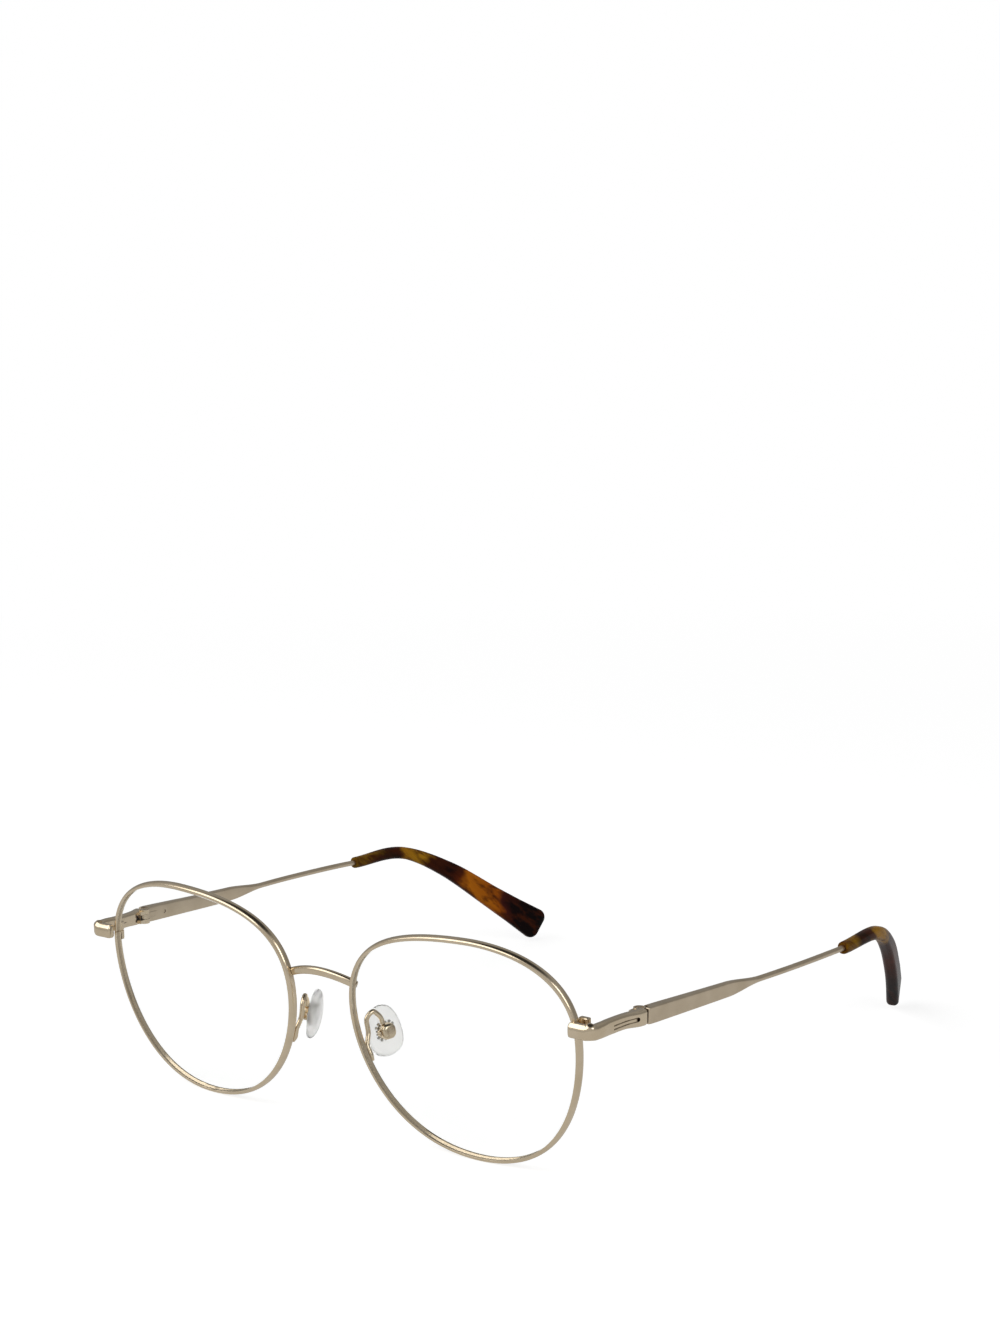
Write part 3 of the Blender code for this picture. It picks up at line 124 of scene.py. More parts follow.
# The end piece's cover over the hinge and the waist before it, which carries the dimple
COVER_HEIGHT, COVER_GAP = mm(3.3, 0.25)
COVER_X = HINGE.x + TEMPLE_LINE[0][0]
COVER_Y = HINGE.y - COVER_GAP
WAIST_BACK, WAIST_INSET = mm(2.6, 0.42)
WAIST_SHARE = 0.48
DIMPLE = Vector((COVER_X - WAIST_INSET + PADDLE_THICKNESS[0] * WAIST_SHARE, COVER_Y - WAIST_BACK, HINGE.z))

# Temple tip: distances behind the hinge, and half sizes
TIP_START, TIP_END = mm(75.4, 132.1)
TIP_SHARES = (0.0, 0.17, 0.35, 0.455, 0.545, 0.63, 0.78, 0.9, 1.0)
TIP_SWELL = (0.0, 0.025, 0.06, 0.15, 0.26, 0.385, 0.565, 0.765, 1.0)
TIP_SLIM, TIP_WIDE, TIP_ROOT_THICK, TIP_THICK = mm(1.38, 4.05, 1.28, 1.5)
TIP_THICK_FROM = 0.4
TIP_CORNER, TIP_EDGE, TIP_LIP, TIP_ROUND = mm(1.2, 0.75, 0.25, 2.1)
TIP_TWIST = radians(11)
TIP_TWIST_SPAN = (0.25, 0.75)
CORE_INSET, CORE_LEAD = mm(9.0, 8.0)

# Nose pad: its rings are shares of the outline with shares of the crown or of the back
PAD_CENTRE = Vector((NASAL + 1.38 * MM, 8.95 * MM, -2.9 * MM))
PAD_SPLAY, PAD_LEAN, PAD_PITCH = radians(25), radians(12.3), radians(4.3)
PAD_LENGTH, PAD_WIDTH, PAD_CROWN, PAD_BACK = mm(10.8, 8.1, 1.05, 0.75)
PAD_FACE = ((0.3, 1), (0.66, 0.9), (0.86, 0.66), (0.96, 0.32))
PAD_REAR = ((1.0, 0.1), (0.98, 0.6), (0.93, 0.9), (0.84, 1))
PAD_STEPS = 64
PAD_BLUNT = -0.08
PAD_FULLER = 0.14
INSERT_PLATE = Vector(mm(4.5, 3.9, 0.42))
INSERT_CORNER, TOOTH_PITCH, TOOTH_DEPTH, TOOTH_RISE = mm(0.8, 0.84, 0.5, 0.1)
TOOTH_SLANT = 0.06
BOSS = Vector(mm(1.3, 1.3, 0.55))
BOX_SIZE = Vector(mm(3.6, 3.4, 1.9))
BOX_START, BOX_WALL, BOX_DOME = mm(1.1, 0.5, 1.25)
PAD_AXIS_RISE = 1.75 * MM
PAD_SCREW = mm(0.4, 0.7, 0.35)

# Pad arm: wire radius, its foot's half width and half thickness, the free points of its arch
ARM_RADIUS = 0.53 * MM
FOOT = mm(0.6, 0.55)
FOOT_FROM, FOOT_TO = radians(198.5), radians(191)
ARM_ARCH = [Vector((NASAL + out, back, up)) for out, back, up in (
    mm(1.0, 4.1, -2.4), mm(0.6, 4.15, 0.4), mm(1.15, 5.5, 1.8), mm(1.85, 6.7, 0.9))]
ARM_FORWARD, ARM_RISE, ARM_LEAD = mm(0.75, 1.8, 0.9)

SCREW_SLOT = 0.26 * MM
ROUND_STEPS, SCREW_STEPS = 40, 36
QUARTER = pi / 2
LEVEL = Vector((1, 0, 0))
SHIFT = Vector((0, -74.202 * MM, 24.365 * MM))


# Modelling helpers; cutters run a few millimetres past the body they cut


def between(first, last, share):
    return first + (last - first) * share


def tuned(thing, **settings):
    """Make a thing's settings and give it back."""
    for name, value in settings.items():
        setattr(thing, name, value)
    return thing


def placed(mesh, place):
    mesh.transform(place)
    return mesh


def turned_at(spot, angle, axis):
    return Matrix.Translation(spot) @ Matrix.Rotation(angle, 4, axis)


def axes_at(spot, *axes):
    """A frame at a spot whose X, Y and Z run along three directions."""
    return Matrix.Translation(spot) @ Matrix(axes).transposed().to_4x4()


def written(bm, mesh, place=None):
    """Store a working mesh, moved into place, and free it."""
    if place:
        bm.transform(place)
    bm.to_mesh(mesh)
    bm.free()
    return mesh


def weld(mesh):
    """Join the loose caps of a curve, or the seam of a lathe, to their walls."""
    bm = bmesh.new()
    bm.from_mesh(mesh)
    bmesh.ops.remove_doubles(bm, verts=bm.verts, dist=WELD)
    bmesh.ops.recalc_face_normals(bm, faces=bm.faces)
    return written(bm, mesh)


def linked(name, data):
    """Put a camera, lamp, mesh or curve into the scene."""
    obj = bpy.data.objects.new(name, data)
    bpy.context.scene.collection.objects.link(obj)
    return obj


def evaluated(obj):
    """The mesh that an object's modifiers make; the object itself goes."""
    bpy.context.view_layer.update()
    graph = bpy.context.evaluated_depsgraph_get()
    mesh = bpy.data.meshes.new_from_object(obj.evaluated_get(graph))
    bpy.data.objects.remove(obj)
    return mesh


def combine(body, tools, operation):
    """Cut or join a body with each tool in turn."""
    base = linked("body", body)
    cutters = [linked("cutter", tool) for tool in tools]
    for cutter in cutters:
        tuned(base.modifiers.new("step", "BOOLEAN"), operation=operation, solver="EXACT", object=cutter)
    mesh = evaluated(base)
    for cutter in cutters:
        bpy.data.objects.remove(cutter)
    return mesh


def cut(body, *tools):
    return combine(body, tools, "DIFFERENCE")


def block(low, high, place=Matrix(), edge=0.0):
    """A box between two corners, with its edges rounded by edge."""
    low, high = Vector(low), Vector(high)
    bm = bmesh.new()
    bmesh.ops.create_cube(bm, size=1)
    bmesh.ops.scale(bm, vec=high - low, verts=bm.verts)
    bmesh.ops.translate(bm, vec=(low + high) / 2, verts=bm.verts)
    if edge:
        bmesh.ops.bevel(bm, geom=bm.edges[:], offset=edge, segments=2, profile=0.5, affect="EDGES")
    return written(bm, bpy.data.meshes.new("block"), place)


def drum(radius, low, high, place=Matrix(), steps=ROUND_STEPS):
    """A round bar along the local Z from low to high."""
    bm = bmesh.new()
    bmesh.ops.create_cone(bm, cap_ends=True, segments=steps, radius1=radius, radius2=radius,
                          depth=high - low)
    bmesh.ops.translate(bm, vec=(0, 0, (low + high) / 2), verts=bm.verts)
    return written(bm, bpy.data.meshes.new("drum"), place)


def lathe(profile, steps):
    """Turn a (radius, height) profile, from axis to axis, about the local Z."""
    mesh = bpy.data.meshes.new("profile")
    edges = [(i, i + 1) for i in range(len(profile) - 1)]
    mesh.from_pydata([(radius, 0, height) for radius, height in profile], edges, [])
    obj = linked("lathe", mesh)
    tuned(obj.modifiers.new("turn", "SCREW"), steps=steps, render_steps=steps, use_merge_vertices=True,
          merge_threshold=WELD)
    return weld(evaluated(obj))


def loft(rings):
    """Skin a row of rings of equally many points, and cap its ends."""
    bm = bmesh.new()
    rows = [[bm.verts.new(point) for point in ring] for ring in rings]
    count = len(rows[0])
    for first, second in zip(rows, rows[1:]):
        for i in range(count):
            j = (i + 1) % count
            bm.faces.new((first[i], first[j], second[j], second[i]))
    bm.faces.new(rows[0])
    bm.faces.new(rows[-1])
    bmesh.ops.recalc_face_normals(bm, faces=bm.faces)
    return written(bm, bpy.data.meshes.new("loft"))


def section(centre, across, up, wide, tall, corner, arc=7):
    """A rounded rectangle of half sizes and 4 * arc points; a circle when all three sizes agree."""
    points = []
    for quarter, (side, rise) in enumerate(((1, 1), (-1, 1), (-1, -1), (1, -1))):
        for i in range(arc):
            angle = (quarter + (i + 0.5) / arc) * pi / 2
            x = side * (wide - corner) + corner * cos(angle)
            z = rise * (tall - corner) + corner * sin(angle)
            points.append(centre + across * x + up * z)
    return points


def polyline(curve, points, closed=False):
    """Add straight pieces through a row of points to a curve."""
    spline = curve.splines.new("POLY")
    spline.points.add(len(points) - 1)
    for spot, point in zip(spline.points, points):
        spot.co = (*point, 1)
    spline.use_cyclic_u = closed


def square_wire(points, radius):
    """A four-sided wire along a row of points."""
    curve = tuned(bpy.data.curves.new("wire", "CURVE"), dimensions="3D", bevel_depth=radius,
                  bevel_resolution=0, render_resolution_u=0, use_fill_caps=True)
    polyline(curve, points)
    return weld(evaluated(linked("wire", curve)))


def smooth_row(knots, steps):
    """Points of a Catmull-Rom curve through rows of numbers, with steps to each span."""
    knots = np.array(knots, dtype=float)
    padded = np.vstack([2 * knots[0] - knots[1], knots, 2 * knots[-1] - knots[-2]])
    rows = []
    for i in range(len(knots) - 1):
        before, start, end, after = padded[i:i + 4]
        for t in np.arange(steps) / steps:
            rows.append(0.5 * (2 * start + (end - before) * t
                               + (2 * before - 5 * start + 4 * end - after) * t ** 2
                               + (3 * start - before - 3 * end + after) * t ** 3))
    rows.append(knots[-1])
    return rows


def row_direction(row, i):
    """Which way a row of points runs at one of them."""
    return (row[min(i + 1, len(row) - 1)] - row[max(i - 1, 0)]).normalized()


def slotted_screw(sizes, length, place):
    """A screw along the local Z, its head up, its shank's end at the origin."""
    radius, head, rise = sizes
    top = length + rise
    profile = ((0, top), (head * 0.8, top), (head, top - rise * 0.4), (head, length), (radius, length),
               (radius, radius * 0.4), (radius * 0.6, 0), (0, 0))
    reach = head * 1.5
    slot = block((-reach, -SCREW_SLOT / 2, top - rise * 0.5), (reach, SCREW_SLOT / 2, top + rise))
    return placed(cut(lathe(profile, SCREW_STEPS), slot), place)


def rounded_ring(points, cut=0.2):
    """Cut each corner of a ring once."""
    made = []
    for i, point in enumerate(points):
        after = points[(i + 1) % len(points)]
        made += [point.lerp(after, cut), point.lerp(after, 1 - cut)]
    return made


def refined(rings, steps=4):
    """Rings between the given ones, each with softer corners."""
    rows = smooth_row([[c for point in ring for c in point] for ring in rings], steps)
    return [rounded_ring([Vector(row[i:i + 3]) for i in range(0, len(row), 3)]) for row in rows]


def mirrored(mesh):
    copy = placed(mesh.copy(), Matrix.Scale(-1, 4, (1, 0, 0)))
    copy.flip_normals()
    return copy


# The curved front


def onto_front(points):
    """Bend, wrap and tilt flat points (u outward, w back, v up) into the front's place."""
    u, w, v = np.array(points, dtype=float).T
    back = w + (u ** 2 + v ** 2) / (2 * BASE_RADIUS)
    x = LENS_PITCH / 2 + u * cos(WRAP) - back * sin(WRAP)
    y = u * sin(WRAP) + back * cos(WRAP)
    return np.stack([x, y * cos(FRONT_TILT) - v * sin(FRONT_TILT),
                     y * sin(FRONT_TILT) + v * cos(FRONT_TILT)], axis=1)


def eye_knots():
    """The four extremes of the rim's centre line, each between its two handles."""
    u, v = EYE_MIDDLE
    wide, tall = EYE_WIDTH / 2, EYE_HEIGHT / 2
    spots = [Vector(spot) for spot in ((u + wide, v + TEMPORAL_RISE), (u + TOP_OUTSET, v + tall),
                                       (u - wide, v + NASAL_RISE), (u + BOTTOM_OUTSET, v - tall))]

    def handle(i, other, amount):
        """Upright at the two sides, level at the top and bottom."""
        spot, towards = spots[i], spots[other]
        if i % 2:
            return spot + Vector(((towards.x - spot.x) * amount, 0))
        return spot + Vector((0, (towards.y - spot.y) * amount))

    return [(handle(i, i - 1, FULLNESS[i - 1][1]), spots[i], handle(i, (i + 1) % 4, FULLNESS[i][0]))
            for i in range(4)]


def eye_line(steps=120):
    """Directions of dense points of the rim's centre line, and their distances, all the way round."""
    knots = eye_knots()
    points = []
    for i, (_, start, leave) in enumerate(knots):
        arrive, end, _ = knots[(i + 1) % 4]
        for t in np.arange(steps) / steps:
            s = 1 - t
            points.append(start * s ** 3 + leave * 3 * s * s * t + arrive * 3 * s * t * t + end * t ** 3)
    u, v = np.array([(p.x, p.y) for p in points]).T
    angles = np.unwrap(np.arctan2(v, u))
    radii = np.hypot(u, v)
    return np.append(angles, angles[0] + 2 * pi), np.append(radii, radii[0])


EYE_ANGLES, EYE_RADII = eye_line()


def eye_radius(angle):
    """Distance from the lens datum to the rim's centre line in a direction."""
    turn = (angle - EYE_ANGLES[0]) % (2 * pi) + EYE_ANGLES[0]
    return float(np.interp(turn, EYE_ANGLES, EYE_RADII))


def rim_point(angle, out=0.0, back=0.0):
    """A point beside the rim: out and back from its centre line."""
    radius = eye_radius(angle) + out
    return Vector(onto_front([(radius * cos(angle), back, radius * sin(angle))])[0])


def rim_angle_at(level, nasal=False):
    """The direction in which one side of the rim stands at a height."""
    angles = np.linspace(radians(-10), radians(40), 120 if nasal else 200)
    if nasal:
        angles = pi - angles
    return float(np.interp(level, [rim_point(a).z for a in angles], angles))


def crown(grow):
    """The rim's rounded outside, from its front to its back."""
    root = RIM_WIDTH / 2 - RIM_CROWN
    half = RIM_DEPTH / 2 + grow
    return [(root + (RIM_CROWN + grow) * cos(a), half * sin(a)) for a in np.radians(np.linspace(-90, 90, 13))]


def rim_section():
    """Half-round outside, flat inside with a lens groove; +X is outward."""
    inner = -RIM_WIDTH / 2
    half = RIM_DEPTH / 2
    groove = GROOVE_HEIGHT / 2
    lip = RIM_LIP
    wall = [(inner + lip, half), (inner, half - lip), (inner, groove + lip / 2), (inner + lip / 2, groove)]
    return crown(0) + wall + [(inner + GROOVE_DEPTH, 0)] + [(out, -back) for out, back in reversed(wall)]


def onto_front_mesh(mesh, flat):
    """Move a mesh's points to where its flat points lie on the front."""
    for vertex, place in zip(mesh.vertices, onto_front(flat)):
        vertex.co = place
    return weld(mesh)


def swept(points):
    """Sweep (outward, back) points round the eye's outline and curve them with the front."""
    shape = tuned(bpy.data.curves.new("section", "CURVE"), dimensions="2D")
    polyline(shape, [(-out, back, 0) for out, back in points], True)
    shaper = linked("section", shape)
    path = tuned(bpy.data.curves.new("eye_path", "CURVE"), dimensions="2D", fill_mode="NONE",
                 resolution_u=RIM_STEPS, render_resolution_u=0, bevel_mode="OBJECT", bevel_object=shaper)
    spline = path.splines.new("BEZIER")
    spline.bezier_points.add(3)
    for knot, (arrive, point, leave) in zip(spline.bezier_points, eye_knots()):
        tuned(knot, handle_left_type="FREE", handle_right_type="FREE", handle_left=(*arrive, 0),
              co=(*point, 0), handle_right=(*leave, 0))
    spline.use_cyclic_u = True
    mesh = weld(evaluated(linked("eye_path", path)))
    bpy.data.objects.remove(shaper)
    return onto_front_mesh(mesh, [(v.co.x, -v.co.z, v.co.y) for v in mesh.vertices])


def rim_room():
    """The space that the rim and its seat gap take from its neighbours."""
    inner = -RIM_WIDTH / 2 - SEAT_GAP
    half = RIM_DEPTH / 2 + SEAT_GAP
    return swept(crown(SEAT_GAP) + [(inner, half), (inner, -half)])


def rim():
    """The grooved wire, split at the lock."""
    crossing = rim_point(rim_angle_at(END_LEVEL - LOCK_DROP))
    reach = RIM_DEPTH * 1.2
    split = block((crossing.x - reach, crossing.y - reach, crossing.z - SPLIT_GAP / 2),
                  (crossing.x + reach, crossing.y + reach, crossing.z + SPLIT_GAP / 2))
    return cut(swept(rim_section()), split)


def lens():
    """A turned blank, brought to the groove's outline with its ridge, and curved."""
    half = LENS_THICKNESS / 2
    face = [(0, half), *((ring, half) for ring in LENS_RINGS), (1.0, half), (1.0, GROOVE_HEIGHT / 2)]
    profile = face + [(LENS_RIDGE, 0)] + [(ring, -level) for ring, level in reversed(face)]
    blank = lathe(profile, LENS_STEPS)
    shoulder_inset = RIM_WIDTH / 2 + SEAT_GAP
    ridge_inset = RIM_WIDTH / 2 - GROOVE_DEPTH + SEAT_GAP
    flat = []
    for vertex in blank.vertices:
        reach = Vector((vertex.co.x, vertex.co.y)).length
        angle = atan2(vertex.co.y, vertex.co.x)
        edge = eye_radius(angle)
        on_ridge = reach > (1 + LENS_RIDGE) / 2
        radius = edge - ridge_inset if on_ridge else (edge - shoulder_inset) * reach
        flat.append((radius * cos(angle), vertex.co.z, radius * sin(angle)))
    return onto_front_mesh(blank, flat)


def bridge():
    """An arched and bowed bar, notched to lap each rim from behind."""
    rim_here = rim_point(rim_angle_at(BRIDGE_RISE, nasal=True))
    reach = rim_here.x - RIM_WIDTH / 2 + BRIDGE_LAP
    seat = rim_here.y + RIM_DEPTH / 2 + BRIDGE_SEAT - BRIDGE_THICKNESS / 2
    line = []
    for x in reach * np.sin(np.linspace(-pi / 2, pi / 2, 61)):
        q = 1 - (x / reach) ** 2
        line.append(Vector((x, seat - BRIDGE_BOW * q, BRIDGE_RISE + BRIDGE_ARCH * q)))
    rings = []
    for i, centre in enumerate(line):
        ahead = row_direction(line, i)
        up = ahead.cross(Vector((0, 1, 0))).normalized()
        near = min((reach - abs(centre.x)) / BRIDGE_ROUND, 1.0)
        shrink = between(BRIDGE_END_SHARE, 1, (1 - (1 - near) ** 2) ** 0.5)
        rings.append(section(centre, up.cross(ahead), up, BRIDGE_THICKNESS / 2 * shrink,
                             BRIDGE_HEIGHT / 2 * shrink, BRIDGE_THICKNESS * 0.42 * shrink))
    room = rim_room()
    return cut(loft(rings), room, mirrored(room))


# End piece and hinge


# Its sections: flat, ridged, and ridged at the corner; their inner side is the same
INNER = ((-0.7, 1), (-1, 0.72), (-1, 0), (-1, -0.72), (-0.7, -1), (0, -1))
UNDER = ((0.66, -0.96), (0.96, -0.62))
END_SECTIONS = (((1, 0), (1, 0.72), (0.7, 1), (0, 1), *INNER, (0.7, -1), (1, -0.72)),
                ((1, 0), (0.92, 0.48), (0.4, 0.97), (0, 1), *INNER, *UNDER),
                ((1, 0), (1, 0.46), (0.1, 0.93), (-0.1, 0.98), *INNER, *UNDER))


def end_ring(x, y, z, heading, wide, tall, ridge, corner=0.0):
    """A section of half sizes; ridge cuts a facet along its outer top, which corner lays flatter."""
    across = Vector((sin(heading), -cos(heading), 0))
    points = []
    for flat, ridged, bent in zip(*END_SECTIONS):
        out, up = (a + (b - a) * ridge + (c - b) * corner for a, b, c in zip(flat, ridged, bent))
        points.append(Vector((x, y, z)) + across * out * wide + Vector((0, 0, up * tall)))
    return points


def joint_round(turn):
    """The round of the faces that meet at the hinge: distance back, and inset."""
    return JOINT_EDGE * (1 - sin(turn)), JOINT_INSET * (1 - cos(turn))


def bar_seat():
    """The front bar's middle, set just in front of the rim where it crosses."""
    fronts = [rim_point(rim_angle_at(END_LEVEL + rise), 0, -RIM_DEPTH / 2).y
              for rise in (-BAR_HEIGHT / 2, 0, BAR_HEIGHT / 2)]
    return min(fronts) - SEAT_GAP - BAR_THICKNESS / 2


def end_piece_rings():
    """Rings along the front bar, round the corner and back to the hinge's cover."""
    inboard = rim_point(rim_angle_at(END_LEVEL)).x - BAR_INBOARD
    bar_y = bar_seat()
    bar, tall = BAR_THICKNESS / 2, BAR_HEIGHT / 2
    level = END_LEVEL
    pivot_x = CORNER_OUT - BAR_THICKNESS - ELBOW_INNER
    pivot_y = bar_y + bar + ELBOW_INNER
    rings = [end_ring(inboard + further, bar_y, level, 0, bar * wide, tall * high, ridge)
             for further, wide, high, ridge in BAR_END]
    rings.append(end_ring((inboard + pivot_x) / 2, bar_y, level, 0, bar, tall, 1))
    out = ELBOW_INNER + bar
    for turn in np.radians(range(0, 91, 18)):
        swell = sin(2 * turn)
        rings.append(end_ring(pivot_x + out * sin(turn), pivot_y - out * cos(turn),
                              between(level, ELBOW_LEVEL, swell), turn, bar,
                              between(tall, ELBOW_HEIGHT / 2, swell), 1 - 0.5 * sin(turn), swell ** 2))
    side, side_tall = SIDE_THICKNESS / 2, SIDE_HEIGHT / 2
    full, high = PADDLE_THICKNESS[0] / 2, COVER_HEIGHT / 2
    waist = PADDLE_THICKNESS[0] * WAIST_SHARE
    rings += [end_ring(*station) for station in (
            (SIDE_OUT + SIDE_BULGE, pivot_y + 2.2 * MM, level, QUARTER + 0.1, side, side_tall, 0.3),
            (SIDE_OUT, FLUTE_START, level - 0.1 * MM, QUARTER, side, side_tall, 0),
            (SIDE_OUT + SIDE_BULGE, COVER_Y - FLUTE_KNEE, (level + HINGE.z) / 2, QUARTER, side, side_tall, 0),
            (COVER_X - WAIST_INSET, COVER_Y - WAIST_BACK, HINGE.z, QUARTER, waist, high * 0.97, 0),
            (COVER_X - 0.08 * MM, COVER_Y - 1.1 * MM, HINGE.z, QUARTER - 0.05, full, high, 0))]
    return rings + [end_ring(COVER_X, COVER_Y - back, HINGE.z, QUARTER, full - inset, high * 0.98 - inset, 0)
                    for back, inset in map(joint_round, np.radians((0, 30, 60, 90)))]


# The line of each flute along the outer face to the dimple
FACE = SIDE_OUT + SIDE_THICKNESS / 2
FLUTES = [(Vector((FACE - 0.02 * MM, FLUTE_START + 0.4 * MM, level)),
           Vector((FACE + 0.18 * MM, COVER_Y - FLUTE_KNEE, level)),
           Vector((DIMPLE.x + 0.02 * MM, DIMPLE.y, level)))
          for level in (HINGE.z - FLUTE_SPREAD / 2, HINGE.z + FLUTE_SPREAD / 2)]


def side_cuts():
    """Two flutes with their dimple outside, and the seam before the slot inside."""
    cuts = [square_wire(line, FLUTE_WIDTH / 2) for line in FLUTES]
    cuts.append(drum(DIMPLE_RADIUS, -DIMPLE_DEPTH, 2 * MM, turned_at(DIMPLE, QUARTER, "Y"), 20))
    seam = SIDE_OUT - SIDE_THICKNESS / 2
    cuts.append(block((seam - 1 * MM, bar_seat() + 4 * MM, HINGE.z - SEAM_WIDTH / 2),
                      (seam + FLUTE_DEPTH, HINGE.y - SLOT_REACH + 0.3 * MM, HINGE.z + SEAM_WIDTH / 2)))
    return cuts


def end_piece():
    """A bar that laps the rim, turns the corner and carries two knuckles at its rear."""
    body = loft(refined(end_piece_rings()))
    half = BARREL_HEIGHT / 2
    here = Matrix.Translation(HINGE)
    barrel = drum(BARREL_RADIUS, -half, half, here)
    low = half - GUSSET_STEP
    gusset = block((-BARREL_RADIUS * 0.8, -GUSSET_REACH, -low), (BARREL_RADIUS * 0.5, 0, low), here)
    body = cut(combine(body, (barrel, gusset), "UNION"), *side_cuts())

    slot = block((-4 * MM, -SLOT_REACH, -SLOT_HALF), (BARREL_RADIUS + SEAT_GAP, 3 * MM, SLOT_HALF), here)
    shank, head, head_height = HINGE_SCREW
    drill = drum(shank + RUN_GAP, -BARREL_HEIGHT, BARREL_HEIGHT, here)
    countersink = drum(head + RUN_GAP, half - head_height - RUN_GAP, BARREL_HEIGHT, here)
    return cut(body, slot, drill, countersink)


def hinge_screw():
    """The hinge's pivot, its head on top."""
    foot = HINGE - Vector((0, 0, BARREL_HEIGHT / 2))
    return slotted_screw(HINGE_SCREW, BARREL_HEIGHT - HINGE_SCREW[2], turned_at(foot, SCREW_TURN, "Z"))


# Temple


def temple_centre(back):
    """A point of the temple's centre line, by its distance behind the hinge."""
    line = np.array(TEMPLE_LINE)[1:]
    y = line[:, 1]
    side = line[:, (0, 2)]
    slopes = np.gradient(side, y, axis=0)
    if back <= y[0]:
        out, up = side[0] + (back - y[0]) * (side[1] - side[0]) / (y[1] - y[0])
        return HINGE + Vector((out, back, up))
    i = min(int(np.searchsorted(y, back)) - 1, len(y) - 2)
    span = y[i + 1] - y[i]
    t = (back - y[i]) / span
    h = (2 * t ** 3 - 3 * t ** 2 + 1, t ** 3 - 2 * t ** 2 + t, 3 * t ** 2 - 2 * t ** 3, t ** 3 - t ** 2)
    out, up = side[i] * h[0] + slopes[i] * span * h[1] + side[i + 1] * h[2] + slopes[i + 1] * span * h[3]
    return HINGE + Vector((out, back, up))


def temple_axes(first, last):
    """Directions across, along and up over a stretch of the centre line."""
    ahead = (temple_centre(last) - temple_centre(first)).normalized()
    up = LEVEL.cross(ahead).normalized()
    return ahead.cross(up), ahead, up


def temple_ring(back, wide, tall, corner, shift=0.0, twist=0.0):
    """A section square to the centre line, slid along it and twisted about it."""
    step = 0.2 * MM
    across, ahead, up = temple_axes(back - step, back + step)
    upright = up * cos(twist) - across * sin(twist)
    level = across * cos(twist) + up * sin(twist)
    return section(temple_centre(back) + ahead * shift, level, upright, wide, tall, corner)


def wire_ring(back, radius, shift=0.0):
    return temple_ring(back, radius, radius, radius, shift)


# Directions at the temple's root: Y runs down the temple, from the hinge's axis
ROOT = axes_at(HINGE, *temple_axes(4 * MM, 12 * MM))
# Where the core wire bends inside the tip; its hole follows the same stations
CORE_STATIONS = np.linspace(TIP_START, TIP_END - CORE_INSET, 13)


def temple():
    """Paddle, flare and wire, hollowed for the flex hinge; the wire runs on into the tip."""
    start = TEMPLE_LINE[0][1]
    wide, thin = (size / 2 for size in PADDLE_THICKNESS)
    tall, low = (size / 2 for size in PADDLE_HEIGHT)
    rings = [temple_ring(start + back, wide - inset, tall * 0.97 - inset, PADDLE_CORNER)
             for back, inset in map(joint_round, np.radians((90, 70, 50, 30, 15, 0)))]
    rings.append(temple_ring(start + 1.0 * MM, wide, tall, PADDLE_CORNER))
    for back in np.linspace(PADDLE_START, PADDLE_LENGTH, 16):
        t = (back - PADDLE_START) / (PADDLE_LENGTH - PADDLE_START)
        rings.append(temple_ring(back, between(wide, thin, t), between(tall, low, t), PADDLE_CORNER))
    for t in np.linspace(0, 1, 25)[1:]:
        ease = t * t * (3 - 2 * t)
        sizes = [between(size, WIRE_RADIUS, ease) for size in (thin, low, PADDLE_CORNER)]
        rings.append(temple_ring(PADDLE_LENGTH + FLARE_LENGTH * t, *sizes))
    plain = np.linspace(PADDLE_LENGTH + FLARE_LENGTH, TIP_START, 24)[1:-1]
    rings += [wire_ring(back, WIRE_RADIUS) for back in (*plain, *CORE_STATIONS)]

    past = BARREL_RADIUS + SEAT_GAP
    clearance = block(mm(-5, -2, -4), (past, past + SEAT_GAP, 4 * MM), Matrix.Translation(HINGE))
    pocket_end = CARRIAGE_START + CARRIAGE_LENGTH + SEAT_GAP
    pocket = block((-5 * MM, -2 * MM, -SLOT_HALF),
                   (ROD_OFFSET + CARRIAGE_OUTER + RUN_GAP, pocket_end, SLOT_HALF), ROOT)
    bore_start = pocket_end - SEAT_GAP
    bore_end = BUSH_START + BUSH_LENGTH + SPRING_LENGTH + STOP_LENGTH + BORE_SPARE
    rod = ROOT @ Matrix.Translation((ROD_OFFSET, bore_start, 0)) @ Matrix.Rotation(-QUARTER, 4, "X")
    bore = drum(BORE_RADIUS, 0, bore_end - pocket_end + SEAT_GAP, rod, 16)
    middle = ROOT @ Matrix.Translation((0, BUSH_START + BUSH_LENGTH / 2, 0))
    sideways = middle @ Matrix.Rotation(QUARTER, 4, "Y")
    pin_hole = drum(PIN_RADIUS + RUN_GAP, -2 * MM, ROD_OFFSET, sideways, 12)
    return cut(loft(rings), clearance, pocket, bore, pin_hole)


